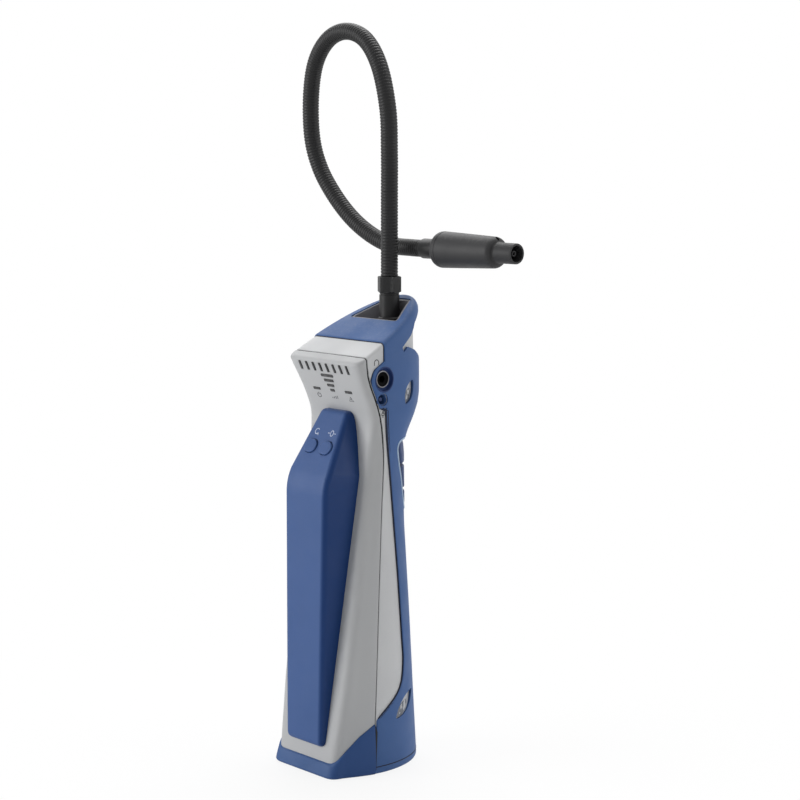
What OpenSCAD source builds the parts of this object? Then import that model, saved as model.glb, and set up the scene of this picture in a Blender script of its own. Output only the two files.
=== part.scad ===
/* [Housing] */
// Height of the waist, where the front is set back furthest
waist_h = 186; // [178:1:194]
// Rise of the sloping top above the waist
head_rise = 32.6; // [30:0.2:36]
// Distance of the waist's front corner ahead of the middle
waist_y = 8.7; // [6:0.1:11]
// Slope of the top, in degrees
top_slope = 27.5; // [23:0.5:30]
// Forward tilt of the display face, in degrees
face_tilt = 26; // [22:0.5:28]
// Lean of the front below the waist, in degrees
front_lean = 8.3; // [7.8:0.1:8.6]
// Width of the housing at the base
base_w = 60.4; // [58:0.2:64]
// Width of the housing at the grip
grip_w = 55.4; // [54:0.2:58]
// Width of the housing at the head
head_w = 55.6; // [54:0.2:58]
// Width of the front face at the base
toe_w = 46; // [44:0.2:48]
// Width of the front face at the middle
face_w = 52.6; // [51:0.2:54]
// Width of the front face at the waist
waist_w = 53; // [51:0.2:54]
// Width of the display face
display_w = 57; // [56:0.2:58]
// Depth behind the middle at the base
base_back = 33; // [31:0.2:35]
// Depth behind the middle at the grip
grip_back = 23; // [22:0.2:25]
// Depth behind the middle at the head
head_back = 35.5; // [34:0.2:37]
// Thickness of the housing wall
wall = 2.2; // [1.8:0.1:2.6]
// Shut line between the two shells
shut_gap = 0.3; // [0.2:0.05:0.5]
// Radius of the vertical edges of the front
corner_r = 5; // [4:0.1:6]
// Radius of the edge round the top
crown_r = 1.8; // [1.4:0.1:2.4]
// Radius of the edge round the foot
foot_r = 1.5; // [1:0.1:2]

/* [Soft covering] */
// How far the soft covering stands proud at the sides
cover_t = 0.8; // [0.6:0.1:1.2]
// Thickness of the covering behind the head
hump_t = 3.3; // [2.6:0.1:4]
// Thickness of the covering behind the base
heel_t = 1.6; // [1.2:0.1:2.4]
// How far the front band of the base stands proud
band_t = 2; // [1.4:0.1:2.4]
// Height of the base band at the front
band_h = 8; // [6:0.5:11]
// Height of the base band at the shut line
band_rise = 26; // [22:0.5:30]
// How far the finger pads stand proud
pad_t = 2.4; // [1.8:0.1:3]
// Height of one finger pad
pad_h = 11.4; // [9:0.1:11.6]
// Spacing of the finger pads
pad_pitch = 12.4; // [12:0.1:13]
// Number of finger pads
pad_count = 3; // [2:1:3]

/* [Front panel and buttons] */
// Height of the panel's foot
panel_foot = 16.4; // [15:0.2:20]
// Drop from the waist to the panel's knee
knee_drop = 36; // [33:0.5:42]
// How far the panel's front lies ahead of the middle
panel_y = 33.2; // [32.6:0.1:34]
// Width of the panel's front at the knee
panel_w = 32.8; // [32.4:0.2:34]
// Width of the panel's root at the knee
root_w = 37.4; // [37:0.2:40]
// Wall of the panel
panel_wall = 2; // [1.6:0.1:2.4]
// Length of a button
button_l = 9; // [8.4:0.1:9.2]
// Width of a button
button_w = 7.4; // [6.6:0.1:7.6]
// Spacing of the two buttons
button_pitch = 11.6; // [11.2:0.1:11.8]
// How far a button stands proud of the panel
button_rise = 1; // [0.9:0.05:1.4]
// Travel of a button
button_travel = 0.8; // [0.5:0.05:0.9]

/* [Display] */
// Number of signal bars in the top row
bar_count = 8; // [6:1:8]
// Spacing of the signal bars
bar_pitch = 5.2; // [4.8:0.05:5.4]
// Width of a signal bar
bar_w = 1.1; // [0.9:0.05:1.4]
// Height of a signal bar
bar_h = 4.8; // [4.2:0.1:5]
// Width of the longest level bar
level_w = 8.8; // [8:0.1:10]
// Height of a level bar
level_h = 1.3; // [1:0.05:1.5]
// Spacing of the level bars
level_pitch = 2.9; // [2.7:0.05:3.1]
// Width of a status light
status_w = 5; // [4:0.1:6]

/* [Sockets] */
// Bore of the earphone socket
phone_bore = 3.6; // [3.5:0.05:3.8]
// Diameter of the ring nut on the earphone socket
ring_d = 8.8; // [8.4:0.1:9.4]
// Diameter of the pocket round the earphone socket
pocket_d = 13.2; // [12.6:0.1:13.8]
// Depth of that pocket
pocket_depth = 2.6; // [2.2:0.1:3]
// Bore of the charging socket
charge_bore = 5; // [4.5:0.1:5.4]

/* [Probe] */
// Distance of the neck behind the middle
neck_y = 25; // [24:0.2:26]
// Diameter of the flexible neck over its ribs
neck_d = 9; // [8.6:0.1:9.4]
// Spacing of the ribs
rib_pitch = 3; // [2.6:0.1:3.4]
// Depth of the grooves between the ribs
rib_depth = 0.5; // [0.3:0.05:0.7]
// Diameter of the neck's sleeve
sleeve_d = 10.6; // [10.2:0.1:11.4]
// Height of the sleeve above the well's floor
sleeve_h = 15.4; // [13:0.2:18]
// Width across the flats of the neck's nut
nut_af = 11.2; // [10.8:0.1:12]
// Height of the neck's nut
nut_h = 8.2; // [7:0.1:10]
// Largest diameter of the sensor head
sensor_d = 18.8; // [18:0.1:20]
// Diameter of the sensor head at its shoulder
shoulder_d = 16; // [15:0.1:17]
// Length of the sensor head behind its shoulder
sensor_l = 43; // [40:0.5:50]
// Diameter of the snout
snout_d = 10.4; // [10:0.1:11]
// Length of the snout
snout_l = 12.4; // [10:0.2:15]
// Bore of the snout
snout_bore = 8.2; // [7.6:0.1:8.6]
// Diameter of the ferrule behind the sensor head
ferrule_d = 10.4; // [10.2:0.1:11.4]
// Length of the ferrule
ferrule_l = 12; // [10:0.5:14]

/* [Inside] */
// Width of the battery pack
battery_w = 29; // [28:0.2:30]
// Depth of the battery pack
battery_d = 29; // [28:0.2:30]
// Height of the battery pack
battery_h = 100; // [90:1:102]
// Thickness of the battery door
door_t = 3.5; // [3:0.1:4]
// Thickness of the circuit boards
board_t = 1.6; // [1:0.1:2]
// Diameter of the pump motor
pump_d = 24; // [22:0.2:25]
// Height of the pump motor
pump_h = 30; // [26:0.5:32]
// Diameter of the sampling tube
tube_d = 6; // [5.6:0.1:6.4]
// Diameter of a housing screw's thread
screw_d = 3; // [2.6:0.1:3.2]

/* [Hidden] */

$fn = 48;
shell_grey = [0.73, 0.73, 0.74];
soft_blue = [0.27, 0.37, 0.60];
deep_blue = [0.12, 0.21, 0.42];
near_black = [0.16, 0.16, 0.17];
board_green = [0.10, 0.35, 0.22];
far = 200;

// Clearances: film under a bonded covering, seat of a resting piece, fit of a running piece
film = 0.06;
seat = 0.1;
run_gap = 0.3;

// Heights of the stations that shape the side view
crown_h = waist_h + head_rise;
knee_h = waist_h - knee_drop;
mid_h = 46;
grip_h = waist_h - 46;
flare_h = waist_h - 22;

// Housing form: each ring is a plan outline on a plane that leans back towards the top
lean_h = waist_h - 36;
lean_top = tan(top_slope);
waist_soft = 1.6;
waist_set = 1.6;
plain_step = 30;
curved_step = 7.5;
levels = [each [for (s = [plain_step / 2 + 4 : plain_step : lean_h - 8]) s],
    each [for (s = [lean_h : curved_step : crown_h - crown_r - curved_step / 2]) s]];

corner_half = [[0, toe_w / 2], [mid_h, face_w / 2 - 0.4], [100, face_w / 2],
    [flare_h, face_w / 2 - 1], [waist_h - 3, waist_w / 2], [waist_h + 12, display_w / 2 - 2],
    [crown_h - 3, display_w / 2]];
beam_half = [[0, base_w / 2], [mid_h, base_w / 2 - 0.6], [94, grip_w / 2 + 0.8],
    [grip_h, grip_w / 2], [waist_h - 14, grip_w / 2 - 0.9], [waist_h + 9, head_w / 2 - 0.7],
    [crown_h, head_w / 2]];
beam_line = [[0, -4], [94, -5], [flare_h - 4, -5], [waist_h - 3, -1.6], [waist_h + 12, -6], [crown_h, -15.6]];
back_line = [[0, base_back], [40, base_back - 3.5], [85, grip_back + 3.5],
    [grip_h - 12, grip_back], [flare_h + 1, grip_back], [flare_h + 14, head_back - 1],
    [crown_h, head_back]];
cover_line = [[0, base_back + heel_t], [40, base_back + heel_t - 3], [85, grip_back + 5.7],
    [grip_h - 12, grip_back + 2], [flare_h + 1, grip_back + 1.9], [flare_h + 12, head_back + hump_t],
    [crown_h - 7, head_back + hump_t], [crown_h, head_back + hump_t - 3]];
seam_line = [[0, -12.2], [mid_h, -10], [94, -7.4], [grip_h, -4.8], [flare_h - 4, -3],
    [waist_h - 13, -3.2], [waist_h - 3, -4.4], [waist_h + 8, -8.4], [crown_h - 11, -14.2],
    [crown_h, -15.8]];

function clamp(v, low, high) = min(max(v, low), high);
function soft(s, table, w) = (lookup(s - w, table) + 2 * lookup(s, table) + lookup(s + w, table)) / 4;
function soft_min(a, b, r) = (a + b) / 2 - sqrt(pow((a - b) / 2, 2) + r * r);
function lean(s) = lean_top * clamp((s - lean_h) / (crown_h - lean_h), 0, 1);
function height(s, y) = s + lean(s) * (y + waist_y);
function top_z(y) = height(crown_h, y);
function front_y(s) = soft_min(
    -tan(face_tilt) * (s - waist_h) / (1 + tan(face_tilt) * lean(s)),
    (waist_set - tan(front_lean) * (waist_h - s)) / (1 - tan(front_lean) * lean(s)), waist_soft) - waist_y;
function seam_y(s) = soft(s, seam_line, 6);

// Half of a ring at station s, grown outward by g, with the rear line taken from a table
function half_ring(s, g, rear, n) = let (
    yf = front_y(s) - g, wc = soft(s, corner_half, 6) + g, wb = soft(s, beam_half, 6) + g,
    yb = soft(s, beam_line, 6), yr = soft(s, rear, 4) + g, r = corner_r + g)
    concat([[0, yf]],
        [for (t = [0 : 1 / n : 1.01]) [wc - r + r * (2 * t - t * t), yf + r * t * t]],
        [for (t = [1 / n : 1 / n : 1.01]) [wc + (wb - wc) * sin(90 * t), yf + r + (yb - yf - r) * t]],
        [for (a = [1 : 2 * n + 1]) let (t = a * 90 / (2 * n + 1)) [wb * cos(t), yb + (yr - yb) * sin(t)]]);

function ring(s, g, rear, n) = let (h = half_ring(s, g, rear, n), m = len(h))
    [for (i = [0 : 2 * m - 3])
        let (p = i < m ? h[i] : [-h[2 * m - 2 - i][0], h[2 * m - 2 - i][1]])
            [p[0], p[1], height(s, p[1])]];

// Stations from foot to crown with rounded edges: station and outward growth
function stations(g) = let (rb = max(foot_r + g, 0.01), rt = max(crown_r + g, 0.01))
    concat([for (a = [0 : 90 : 90]) [rb - g - rb * cos(a), g - rb + rb * sin(a)]],
        [for (s = levels) [s, g]],
        [for (a = [0 : 45 : 90]) [crown_h + g - rt + rt * sin(a), g - rt + rt * cos(a)]]);

// Faces of a skin over rings of n points each, closed at both ends
function skin_faces(rings, n) = concat(
    [for (j = [0 : rings - 2], i = [0 : n - 1]) let (k = (i + 1) % n, a = j * n, b = a + n)
        each [[a + i, b + k, a + k], [a + i, b + i, b + k]]],
    [[for (i = [0 : n - 1]) i]], [[for (i = [n - 1 : -1 : 0]) (rings - 1) * n + i]]);

module skin(rings) {
    polyhedron([for (r = rings) each r], skin_faces(len(rings), len(rings[0])), convexity = 6);
}

module form(g = 0, rear = back_line, n = 3) {
    skin([for (s = stations(g)) ring(s[0], s[1], rear, n)]);
}

module hollow(g = -wall) { form(g, back_line, 1); }

// A moulding, made as one skin
module moulded() {
    $fn = 16;
    resize([0, 0, 0]) children();
}

// Outline in the side view, drawn as y and z, carried right across the housing
module across() { rotate([90, 0, 90]) linear_extrude(far, center = true) children(); }

// Outline in the side view on the right-hand side only
module on_right() { rotate([90, 0, 90]) linear_extrude(far) children(); }

seam_points = [for (s = [-plain_step, each levels, crown_h]) [seam_y(s), height(s, seam_y(s))]];

module ahead_of_seam(shift) {
    last = seam_points[len(seam_points) - 1];
    polygon([each [for (p = seam_points) [p[0] + shift, p[1]]], [last[0] + shift, far + waist_h],
        [-far, far + waist_h], [-far, -far]]);
}

// Housing screws: places in the rear view and the plane where the bosses meet
screw_x = 12;
screw_z = [114, waist_h - 2];
boss_join = 2;
boss_r = 4.4;
head_r = 2.8;
head_h = 2.2;
head_seat = boss_join + 6;
bite = 8;
screw_places = [for (x = [-screw_x, screw_x], z = screw_z) [x, z]];

module along_y(y0, y1, r) { translate([0, y0, 0]) rotate([-90, 0, 0]) cylinder(y1 - y0, r, r); }

module at_screws() { for (p = screw_places) translate([p[0], 0, p[1]]) children(); }

// Display face: frame on the face with x across, y up the face and z outward
module on_face(x, up) {
    translate([0, -waist_y, waist_h]) rotate([90 + face_tilt, 0, 0]) translate([x, up, 0]) children();
}

lens_depth = wall + 2.6;
lens_proud = 0.35;
face_set = 0.3;
bar_up = 24.9;
level_up = 20.1;
level_count = 4;
status_up = level_up - (level_count - 1) * level_pitch;
status_x = 12.4;
slot_gap = 0.08;

module lens(w, h, gap = 0) {
    translate([-w / 2 - gap, -h / 2 - gap, -lens_depth - gap])
        cube([w + 2 * gap, h + 2 * gap, lens_depth + face_set + lens_proud + far * sign(gap)]);
}

module bar_lenses(gap = 0) {
    for (i = [0 : bar_count - 1])
        on_face((i - (bar_count - 1) / 2) * bar_pitch, bar_up) lens(bar_w, bar_h, gap);
}

module level_lenses(gap = 0) {
    for (i = [0 : level_count - 1])
        on_face(0, level_up - i * level_pitch)
            lens(level_w * (1 - i * 0.22), level_h, gap);
}

module status_lens(side, gap = 0) { on_face(side * status_x, status_up) lens(status_w, level_h, gap); }

// Posts behind the display face that carry the display board
board_post_r = 1.6;
display_post_x = 19;
display_posts = [for (x = [-display_post_x, display_post_x], up = [status_up + 4, bar_up - 5]) [x, up]];
display_board_w = 2 * (display_post_x + board_post_r);
display_board_up = [status_up + 2, bar_up - 0.4];
tongue_w = 2 * status_x + status_w + 2;
tongue_up = status_up - 1.6;

// Main board behind the front: posts, height and plane
main_y = -15.6;
main_z = [waist_h - 146, waist_h - 82];
main_w = 42;
main_post_x = 17;
main_posts = [for (x = [-main_post_x, main_post_x], z = [main_z[0] + 6, main_z[1] - 6]) [x, z]];

module front_shell() color(shell_grey) moulded() difference() {
    union() {
        difference() {
            intersection() {
                form();
                across() ahead_of_seam(-shut_gap / 2);
            }
            hollow();
        }
        for (p = screw_places) translate([p[0], 0, p[1]])
            along_y(front_y(p[1]) + wall / 2, boss_join, boss_r);
        for (p = main_posts) translate([p[0], 0, p[1]])
            along_y(front_y(p[1]) + wall / 2, main_y - seat, board_post_r);
        for (p = display_posts) on_face(p[0], p[1]) translate([0, 0, -lens_depth - seat])
            cylinder(lens_depth - wall / 2, board_post_r, board_post_r);
    }
    at_screws() along_y(boss_join - bite - seat, far, screw_d / 2 + seat);
    bar_lenses(slot_gap);
    level_lenses(slot_gap);
    for (side = [-1, 1]) status_lens(side, slot_gap);
}

// Pump shelf and the well for the neck
shelf_z = [119.4, 121.4];
well_front = 13.4;
well_rear = 32.4;
well_front_w = 37.6;
well_rear_w = 17;
well_r = 2;
well_wall = 1.2;
well_floor_t = 1.6;
floor_z = top_z(well_front) - 2.8;

module well_outline(grow) {
    offset(delta = grow) offset(r = well_r) offset(delta = -well_r)
        polygon([[-well_front_w / 2, well_front], [well_front_w / 2, well_front],
            [well_rear_w / 2, well_rear], [-well_rear_w / 2, well_rear]]);
}

module well_cut(grow, z) { translate([0, 0, z]) linear_extrude(far) well_outline(grow); }

// Sockets on the right-hand side
phone_y = -3.2;
phone_z = waist_h + 17.2;
charge_y = -4.2;
charge_z = waist_h + 7;
socket_boss_r = pocket_d / 2 + 1.6;
side_x = head_w / 2 - 0.5;
pocket_x = side_x + cover_t - pocket_depth;
pocket_skin = 0.7;
socket_x = pocket_x - 4;
phone_neck_r = 3.2;
charge_r = charge_bore / 2 + 0.6;

module on_side(y, z, x) { translate([x, y, z]) rotate([0, 90, 0]) children(); }

module rear_shell() color(shell_grey) moulded() difference() {
    union() {
        difference() {
            intersection() {
                form();
                across() difference() {
                    translate([-far, door_t + shut_gap]) square([2 * far, 2 * far]);
                    ahead_of_seam(shut_gap / 2);
                }
            }
            hollow();
        }
        intersection() {
            hollow(-wall / 2);
            across() difference() {
                translate([-far, door_t + shut_gap]) square([2 * far, 2 * far]);
                ahead_of_seam(shut_gap / 2);
            }
            union() {
                at_screws() along_y(boss_join + shut_gap, far, boss_r);
                translate([-far, -far, shelf_z[0]]) cube([2 * far, 2 * far, shelf_z[1] - shelf_z[0]]);
                well_cut(wall + film, floor_z - wall - film);
                on_side(phone_y, phone_z, socket_x) cylinder(far, socket_boss_r, socket_boss_r);
                on_side(charge_y, charge_z, socket_x) cylinder(far, charge_r + 1.6, charge_r + 1.6);
            }
        }
    }
    at_screws() along_y(head_seat, far, head_r + run_gap);
    at_screws() along_y(boss_join - 1, far, screw_d / 2 + seat);
    well_cut(film, floor_z - film);
    translate([0, neck_y, floor_z - far / 2]) cylinder(far, stem_r + seat, stem_r + seat);
    on_side(phone_y, phone_z, pocket_x - pocket_skin - film)
        cylinder(far, pocket_d / 2 + film, pocket_d / 2 + film);
    on_side(phone_y, phone_z, 0) cylinder(far, phone_neck_r + seat, phone_neck_r + seat);
    on_side(charge_y, charge_z, 0) cylinder(far, charge_r + seat, charge_r + seat);
}

// Soft covering: its edge in the side view, its notch, windows and the opening for the fingers
lobe_r = 8.6;
strip = [[-3.2, waist_h - 1.4], [-2.2, waist_h - 14], [-0.8, waist_h - 26.5], [2, waist_h - 45],
    [7, 102.6], [10.4, 64]];
heel = [[11, 58], [10.3, 51.4], [9, 45.4], [5.4, 40], [-1.2, 35.2], [-8.4, 30.2], [-11.6, band_rise + 1]];

module cover_side() {
    union() {
        polygon([each strip, each heel, [-11, -far], [far, -far], [far, far + waist_h], [-3.2, far + waist_h],
            [-3.2, phone_z + lobe_r], [-1, phone_z]]);
        translate([phone_y, phone_z]) circle(lobe_r);
        polygon([[phone_y - lobe_r, phone_z], [far / 10, phone_z], [far / 10, waist_h + 2.5],
            [-8.2, waist_h + 2.5]]);
    }
}

module pointed_lens(from, to, w) {
    c = norm(to - from);
    r = (c * c / 4 + w * w / 4) / w;
    translate((from + to) / 2) rotate(atan2(to[1] - from[1], to[0] - from[0])) intersection() {
        translate([0, r - w / 2]) circle(r);
        translate([0, w / 2 - r]) circle(r);
    }
}

module cover_openings() {
    polygon([[11, crown_h - 0.4], [20, crown_h + 5.3], [23.3, crown_h + 8.9], [24.6, crown_h + 10.9],
        [head_back - 4.7, crown_h + 15.1], [head_back + 0.5, crown_h + 17.8], [far, crown_h + 20],
        [far, crown_h - 12], [head_back - 1, crown_h - 10], [head_back - 5.5, crown_h - 6.4],
        [23.5, crown_h - 2.7], [16.4, crown_h - 0.5], [12.4, crown_h - 3]]);
    pointed_lens([13.1, waist_h + 3.9], [19.6, waist_h + 13.9], 6);
    pointed_lens([3.4, 28.4], [20, 39.2], 6.6);
}

// Opening for the fingers, as its outline in the side view
finger_edge = [[far, flare_h + 15], [22, flare_h + 14.5], [13, flare_h + 12.5], [9, flare_h + 10],
    [7.3, flare_h + 4], [9, flare_h - 5], [11.8, flare_h - 13.5], [14.5, flare_h - 25], [18, flare_h - 31],
    [far, flare_h - 33]];
pad_edge = 1;
pad_top = flare_h + 8.2;

module finger_opening() { polygon(finger_edge); }

module rear_cover() color(soft_blue) moulded() difference() {
    union() {
        difference() {
            intersection() {
                form(cover_t, cover_line);
                across() difference() {
                    cover_side();
                    translate([-far, -2 * far]) square([2 * far, 2 * far + door_t + shut_gap]);
                    ahead_of_seam(shut_gap / 2);
                    cover_openings();
                }
            }
            form(film);
            across() finger_opening();
        }
        intersection() {
            form(cover_t, cover_line);
            on_side(phone_y, phone_z, pocket_x - pocket_skin) cylinder(far, pocket_d / 2, pocket_d / 2);
        }
    }
    on_side(phone_y, phone_z, pocket_x) cylinder(far, pocket_d / 2 - pocket_skin, pocket_d / 2 - pocket_skin);
    on_side(phone_y, phone_z, 0) cylinder(far, ring_d / 2 + seat, ring_d / 2 + seat);
    on_side(charge_y, charge_z, 0) cylinder(far, charge_r + seat, charge_r + seat);
    at_screws() along_y(head_seat, far, head_r + run_gap);
    well_cut(film, floor_z);
}

module base_band() color(soft_blue) moulded() difference() {
    intersection() {
        form(band_t);
        across() intersection() {
            ahead_of_seam(-shut_gap / 2);
            polygon([[-far, 0], [far, 0], [far, band_rise], [seam_y(band_rise), band_rise], [-20.4, 21],
                [-32.4, band_h + 2], [-34, band_h], [-far, band_h]]);
        }
    }
    form(film);
}

module finger_pads() color(deep_blue) moulded() difference() {
    intersection() {
        form(pad_t, back_line);
        across() intersection() {
            offset(delta = -pad_edge) finger_opening();
            for (i = [0 : pad_count - 1]) translate([0, pad_top - pad_h / 2 - i * pad_pitch])
                square([2 * far, pad_h], center = true);
        }
    }
    form(film);
}

// Front panel: points of its front and of its root on the housing
edge_ball = 3.4;
inner_ball = 1.2;
toe_out = 2;
top_proud = 5.8;
panel_top = waist_h - 3.6;
slope_run = panel_y + front_y(panel_top) - top_proud;
slope_rise = panel_top - knee_h;
slope_tilt = atan2(slope_run, slope_rise);
panel_points = [
    [panel_w / 2 - 2, -panel_y - toe_out, panel_foot], [panel_w / 2, -panel_y, knee_h],
    [panel_w / 2 - 5.2, front_y(panel_top) - top_proud, panel_top],
    [panel_w / 2 - 2, front_y(panel_foot), panel_foot], [root_w / 2 - 4.5, front_y(mid_h), mid_h],
    [root_w / 2 - 2.2, front_y(90), 90],
    [root_w / 2, front_y(knee_h + 3), knee_h + 3], [panel_w / 2 - 5.2, front_y(panel_top), panel_top]];

module panel_body() {
    hull() for (p = panel_points, side = [-1, 1])
        translate([side * (p[0] - edge_ball), p[1] + edge_ball, p[2]]) sphere(edge_ball, $fn = 12);
}

module panel_inside() {
    hull() for (p = panel_points, side = [-1, 1])
        translate([side * (p[0] - inner_ball - panel_wall), p[1] + inner_ball + panel_wall,
            p[2] + (p[2] > mid_h ? -panel_wall : panel_wall)]) sphere(inner_ball, $fn = 8);
}

// Frame on the sloping part of the panel: x across, y up the slope, z outward
button_up = 20.2;
module on_slope(x, up) {
    translate([0, -panel_y, knee_h]) rotate([90 - slope_tilt, 0, 0]) translate([x, up, 0]) children();
}

// Oblong with round ends across the panel
module oblong(l, w, h) {
    linear_extrude(h) union() {
        square([l - w, w], center = true);
        for (side = [-1, 1]) translate([side * (l - w) / 2, 0]) circle(w / 2);
    }
}

slope_out = edge_ball * (1 - cos(slope_tilt));
slope_in = (inner_ball + panel_wall) * cos(slope_tilt) + panel_wall * sin(slope_tilt) - inner_ball / 2;
flange_t = 0.8;
flange_w = 0.5;
key_gap = 0.05;
key_travel_gap = button_travel + 0.05;
switch_h = 1.5;
switch_w = 5.2;
plunger_r = 1.4;
plunger_h = 0.5;
key_top = -slope_in - key_gap - flange_t - key_travel_gap;
key_board_z = key_top - switch_h;
key_board_w = 21.6;
key_board_h = 15;
key_board_t = 1.2;
key_post_r = 1.2;
key_inset = 1.5;
key_posts = [for (x = [-1, 1], y = [-1, 1])
    [x * (key_board_w / 2 - key_inset), button_up + y * (key_board_h / 2 - key_inset)]];

module grip_panel() color(soft_blue) moulded() difference() {
    union() {
        difference() {
            panel_body();
            panel_inside();
        }
        for (p = key_posts) on_slope(p[0], p[1]) translate([0, 0, key_board_z + seat])
            cylinder(-key_board_z - panel_wall / 2, key_post_r, key_post_r);
    }
    form(film);
    for (side = [-1, 1]) on_slope(side * button_pitch / 2, button_up)
        translate([0, 0, -far / 10]) oblong(button_l + 2 * run_gap, button_w + 2 * run_gap, far);
}

module button() {
    dome_r = 16;
    on_slope(0, button_up) union() {
        intersection() {
            translate([0, 0, -slope_in - key_gap - flange_t / 2])
                oblong(button_l, button_w, slope_in + slope_out + button_rise + flange_t);
            translate([0, 0, slope_out + button_rise - dome_r]) sphere(dome_r, $fn = 32);
        }
        translate([0, 0, -slope_in - key_gap - flange_t])
            oblong(button_l + 2 * flange_w, button_w + 2 * flange_w, flange_t);
    }
}

module mode_button() color(soft_blue) translate([-button_pitch / 2, 0, 0]) button();
module zero_button() color(soft_blue) translate([button_pitch / 2, 0, 0]) button();

module key_board() color(board_green) on_slope(0, button_up)
    translate([-key_board_w / 2, -key_board_h / 2, key_board_z - key_board_t])
        cube([key_board_w, key_board_h, key_board_t]);

module key_switches() color(near_black) for (side = [-1, 1]) on_slope(side * button_pitch / 2, button_up)
    translate([0, 0, key_board_z]) union() {
        translate([-switch_w / 2, -switch_w / 2, 0]) cube([switch_w, switch_w, switch_h - plunger_h]);
        cylinder(switch_h, plunger_r, plunger_r);
    }

module signal_bars() color(near_black) bar_lenses();
module level_bars() color(near_black) level_lenses();
module power_light() color(near_black) status_lens(-1);
module fault_light() color(near_black) status_lens(1);

module display_board() color(board_green) on_face(0, 0)
    translate([0, 0, -lens_depth - 2 * seat - board_t]) union() {
        translate([-display_board_w / 2, display_board_up[0], 0])
            cube([display_board_w, display_board_up[1] - display_board_up[0], board_t]);
        translate([-tongue_w / 2, tongue_up, 0])
            cube([tongue_w, display_board_up[1] - tongue_up, board_t]);
    }

module main_board() color(board_green) translate([-main_w / 2, main_y, main_z[0]])
    cube([main_w, board_t, main_z[1] - main_z[0]]);

buzzer_r = 8;
buzzer_h = 3.2;
sound_hole = [1.2, 1.4];
module buzzer() color(near_black) translate([0, main_y + board_t, main_z[1] - buzzer_r - 3])
    rotate([-90, 0, 0]) difference() {
        cylinder(buzzer_h, buzzer_r, buzzer_r);
        translate([0, 0, buzzer_h - sound_hole[1]]) cylinder(buzzer_h, sound_hole[0], sound_hole[0]);
    }

// Earphone socket: body, neck through the wall, bore for the plug and the ring nut
jack_r = 4.6;
jack_l = 12;
plug_l = 14;
ring_h = 1;
ring_fit = 0.04;
module phone_socket() color(near_black) on_side(phone_y, phone_z, 0) difference() {
    union() {
        translate([0, 0, socket_x - seat - jack_l]) cylinder(jack_l, jack_r, jack_r);
        translate([0, 0, socket_x - seat - 1])
            cylinder(pocket_x + 2 * seat - socket_x + seat + 1, phone_neck_r, phone_neck_r);
    }
    translate([0, 0, pocket_x - plug_l]) cylinder(far, phone_bore / 2, phone_bore / 2);
}

module phone_ring() color("silver") on_side(phone_y, phone_z, pocket_x - pocket_skin) difference() {
    cylinder(pocket_skin + ring_h, ring_d / 2, ring_d / 2);
    translate([0, 0, -ring_h]) cylinder(far, phone_neck_r + ring_fit, phone_neck_r + ring_fit);
}

// Charging socket with its centre pin
charge_face = side_x - 0.6;
charge_l = 4;
charge_floor = 2;
pin_r = 1;
pin_short = 1;
module charge_socket() color(near_black) on_side(charge_y, charge_z, 0) difference() {
    translate([0, 0, socket_x - charge_l])
        cylinder(charge_face - socket_x + charge_l, charge_r, charge_r);
    translate([0, 0, socket_x - charge_l + charge_floor])
        cylinder(far, charge_bore / 2, charge_bore / 2);
}

module charge_pin() color("silver") on_side(charge_y, charge_z, socket_x - charge_l + charge_floor)
    cylinder(charge_face - socket_x + charge_l - charge_floor - pin_short, pin_r, pin_r);

door_screw_y = 26;
module battery_door() color(soft_blue) moulded() difference() {
    intersection() {
        form(cover_t, cover_line);
        across() difference() {
            translate([-far, 0]) square([2 * far, door_t]);
            ahead_of_seam(shut_gap / 2);
        }
    }
    translate([0, door_screw_y, -1]) cylinder(far, screw_d / 2 + seat, screw_d / 2 + seat);
    translate([0, door_screw_y, -1]) cylinder(1 + head_h, head_r + seat, head_r + seat);
}

// Battery: two pairs of cells, two high, in one wrap
battery_y = 5;
battery_z = door_t + 1.2;
cell_r = battery_w / 4;
contact_r = 3;

module battery_pack() color("darkseagreen") translate([0, battery_y, battery_z]) linear_extrude(battery_h)
    union() {
        for (x = [-1, 1], y = [-1, 1])
            translate([x * (battery_w / 2 - cell_r), y * (battery_d / 2 - cell_r)]) circle(cell_r);
        square([battery_w - 2 * cell_r, battery_d], center = true);
        square([battery_w, battery_d - 2 * cell_r], center = true);
    }

module battery_contacts() color("silver") for (x = [-1, 1])
    translate([x * (battery_w / 2 - cell_r), battery_y, door_t])
        cylinder(battery_z - door_t, contact_r, contact_r);

pump_y = 6;
pump_z = shelf_z[1];
module air_pump() color("silver") translate([0, pump_y, pump_z])
    cylinder(pump_h, pump_d / 2, pump_d / 2);

head_box = [20, 20, 10];
spout_h = 6;
tube_wall = 1.3;
spout_r = tube_d / 2 - tube_wall - seat;
module pump_head() color(near_black) translate([0, pump_y, pump_z + pump_h]) union() {
    translate([-head_box[0] / 2, -head_box[1] / 2, 0]) cube(head_box);
    translate([0, 0, head_box[2]]) cylinder(spout_h, spout_r, spout_r);
}

module probe_well() color(near_black) moulded() difference() {
    intersection() {
        well_cut(0, floor_z);
        form(cover_t - 0.5, cover_line);
    }
    well_cut(-well_wall, floor_z + well_floor_t);
    translate([0, neck_y, floor_z - 1]) cylinder(far / 10, stem_r + seat, stem_r + seat);
}

// Neck: stem through the well's floor, lock nut under it, sleeve, nut and the flexible run
stem_r = 4.2;
stem_low = floor_z - 14;
stem_bore = 4;
flange_h = 2.4;
neck_foot = floor_z + well_floor_t + sleeve_h;
neck_in = 5;

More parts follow.
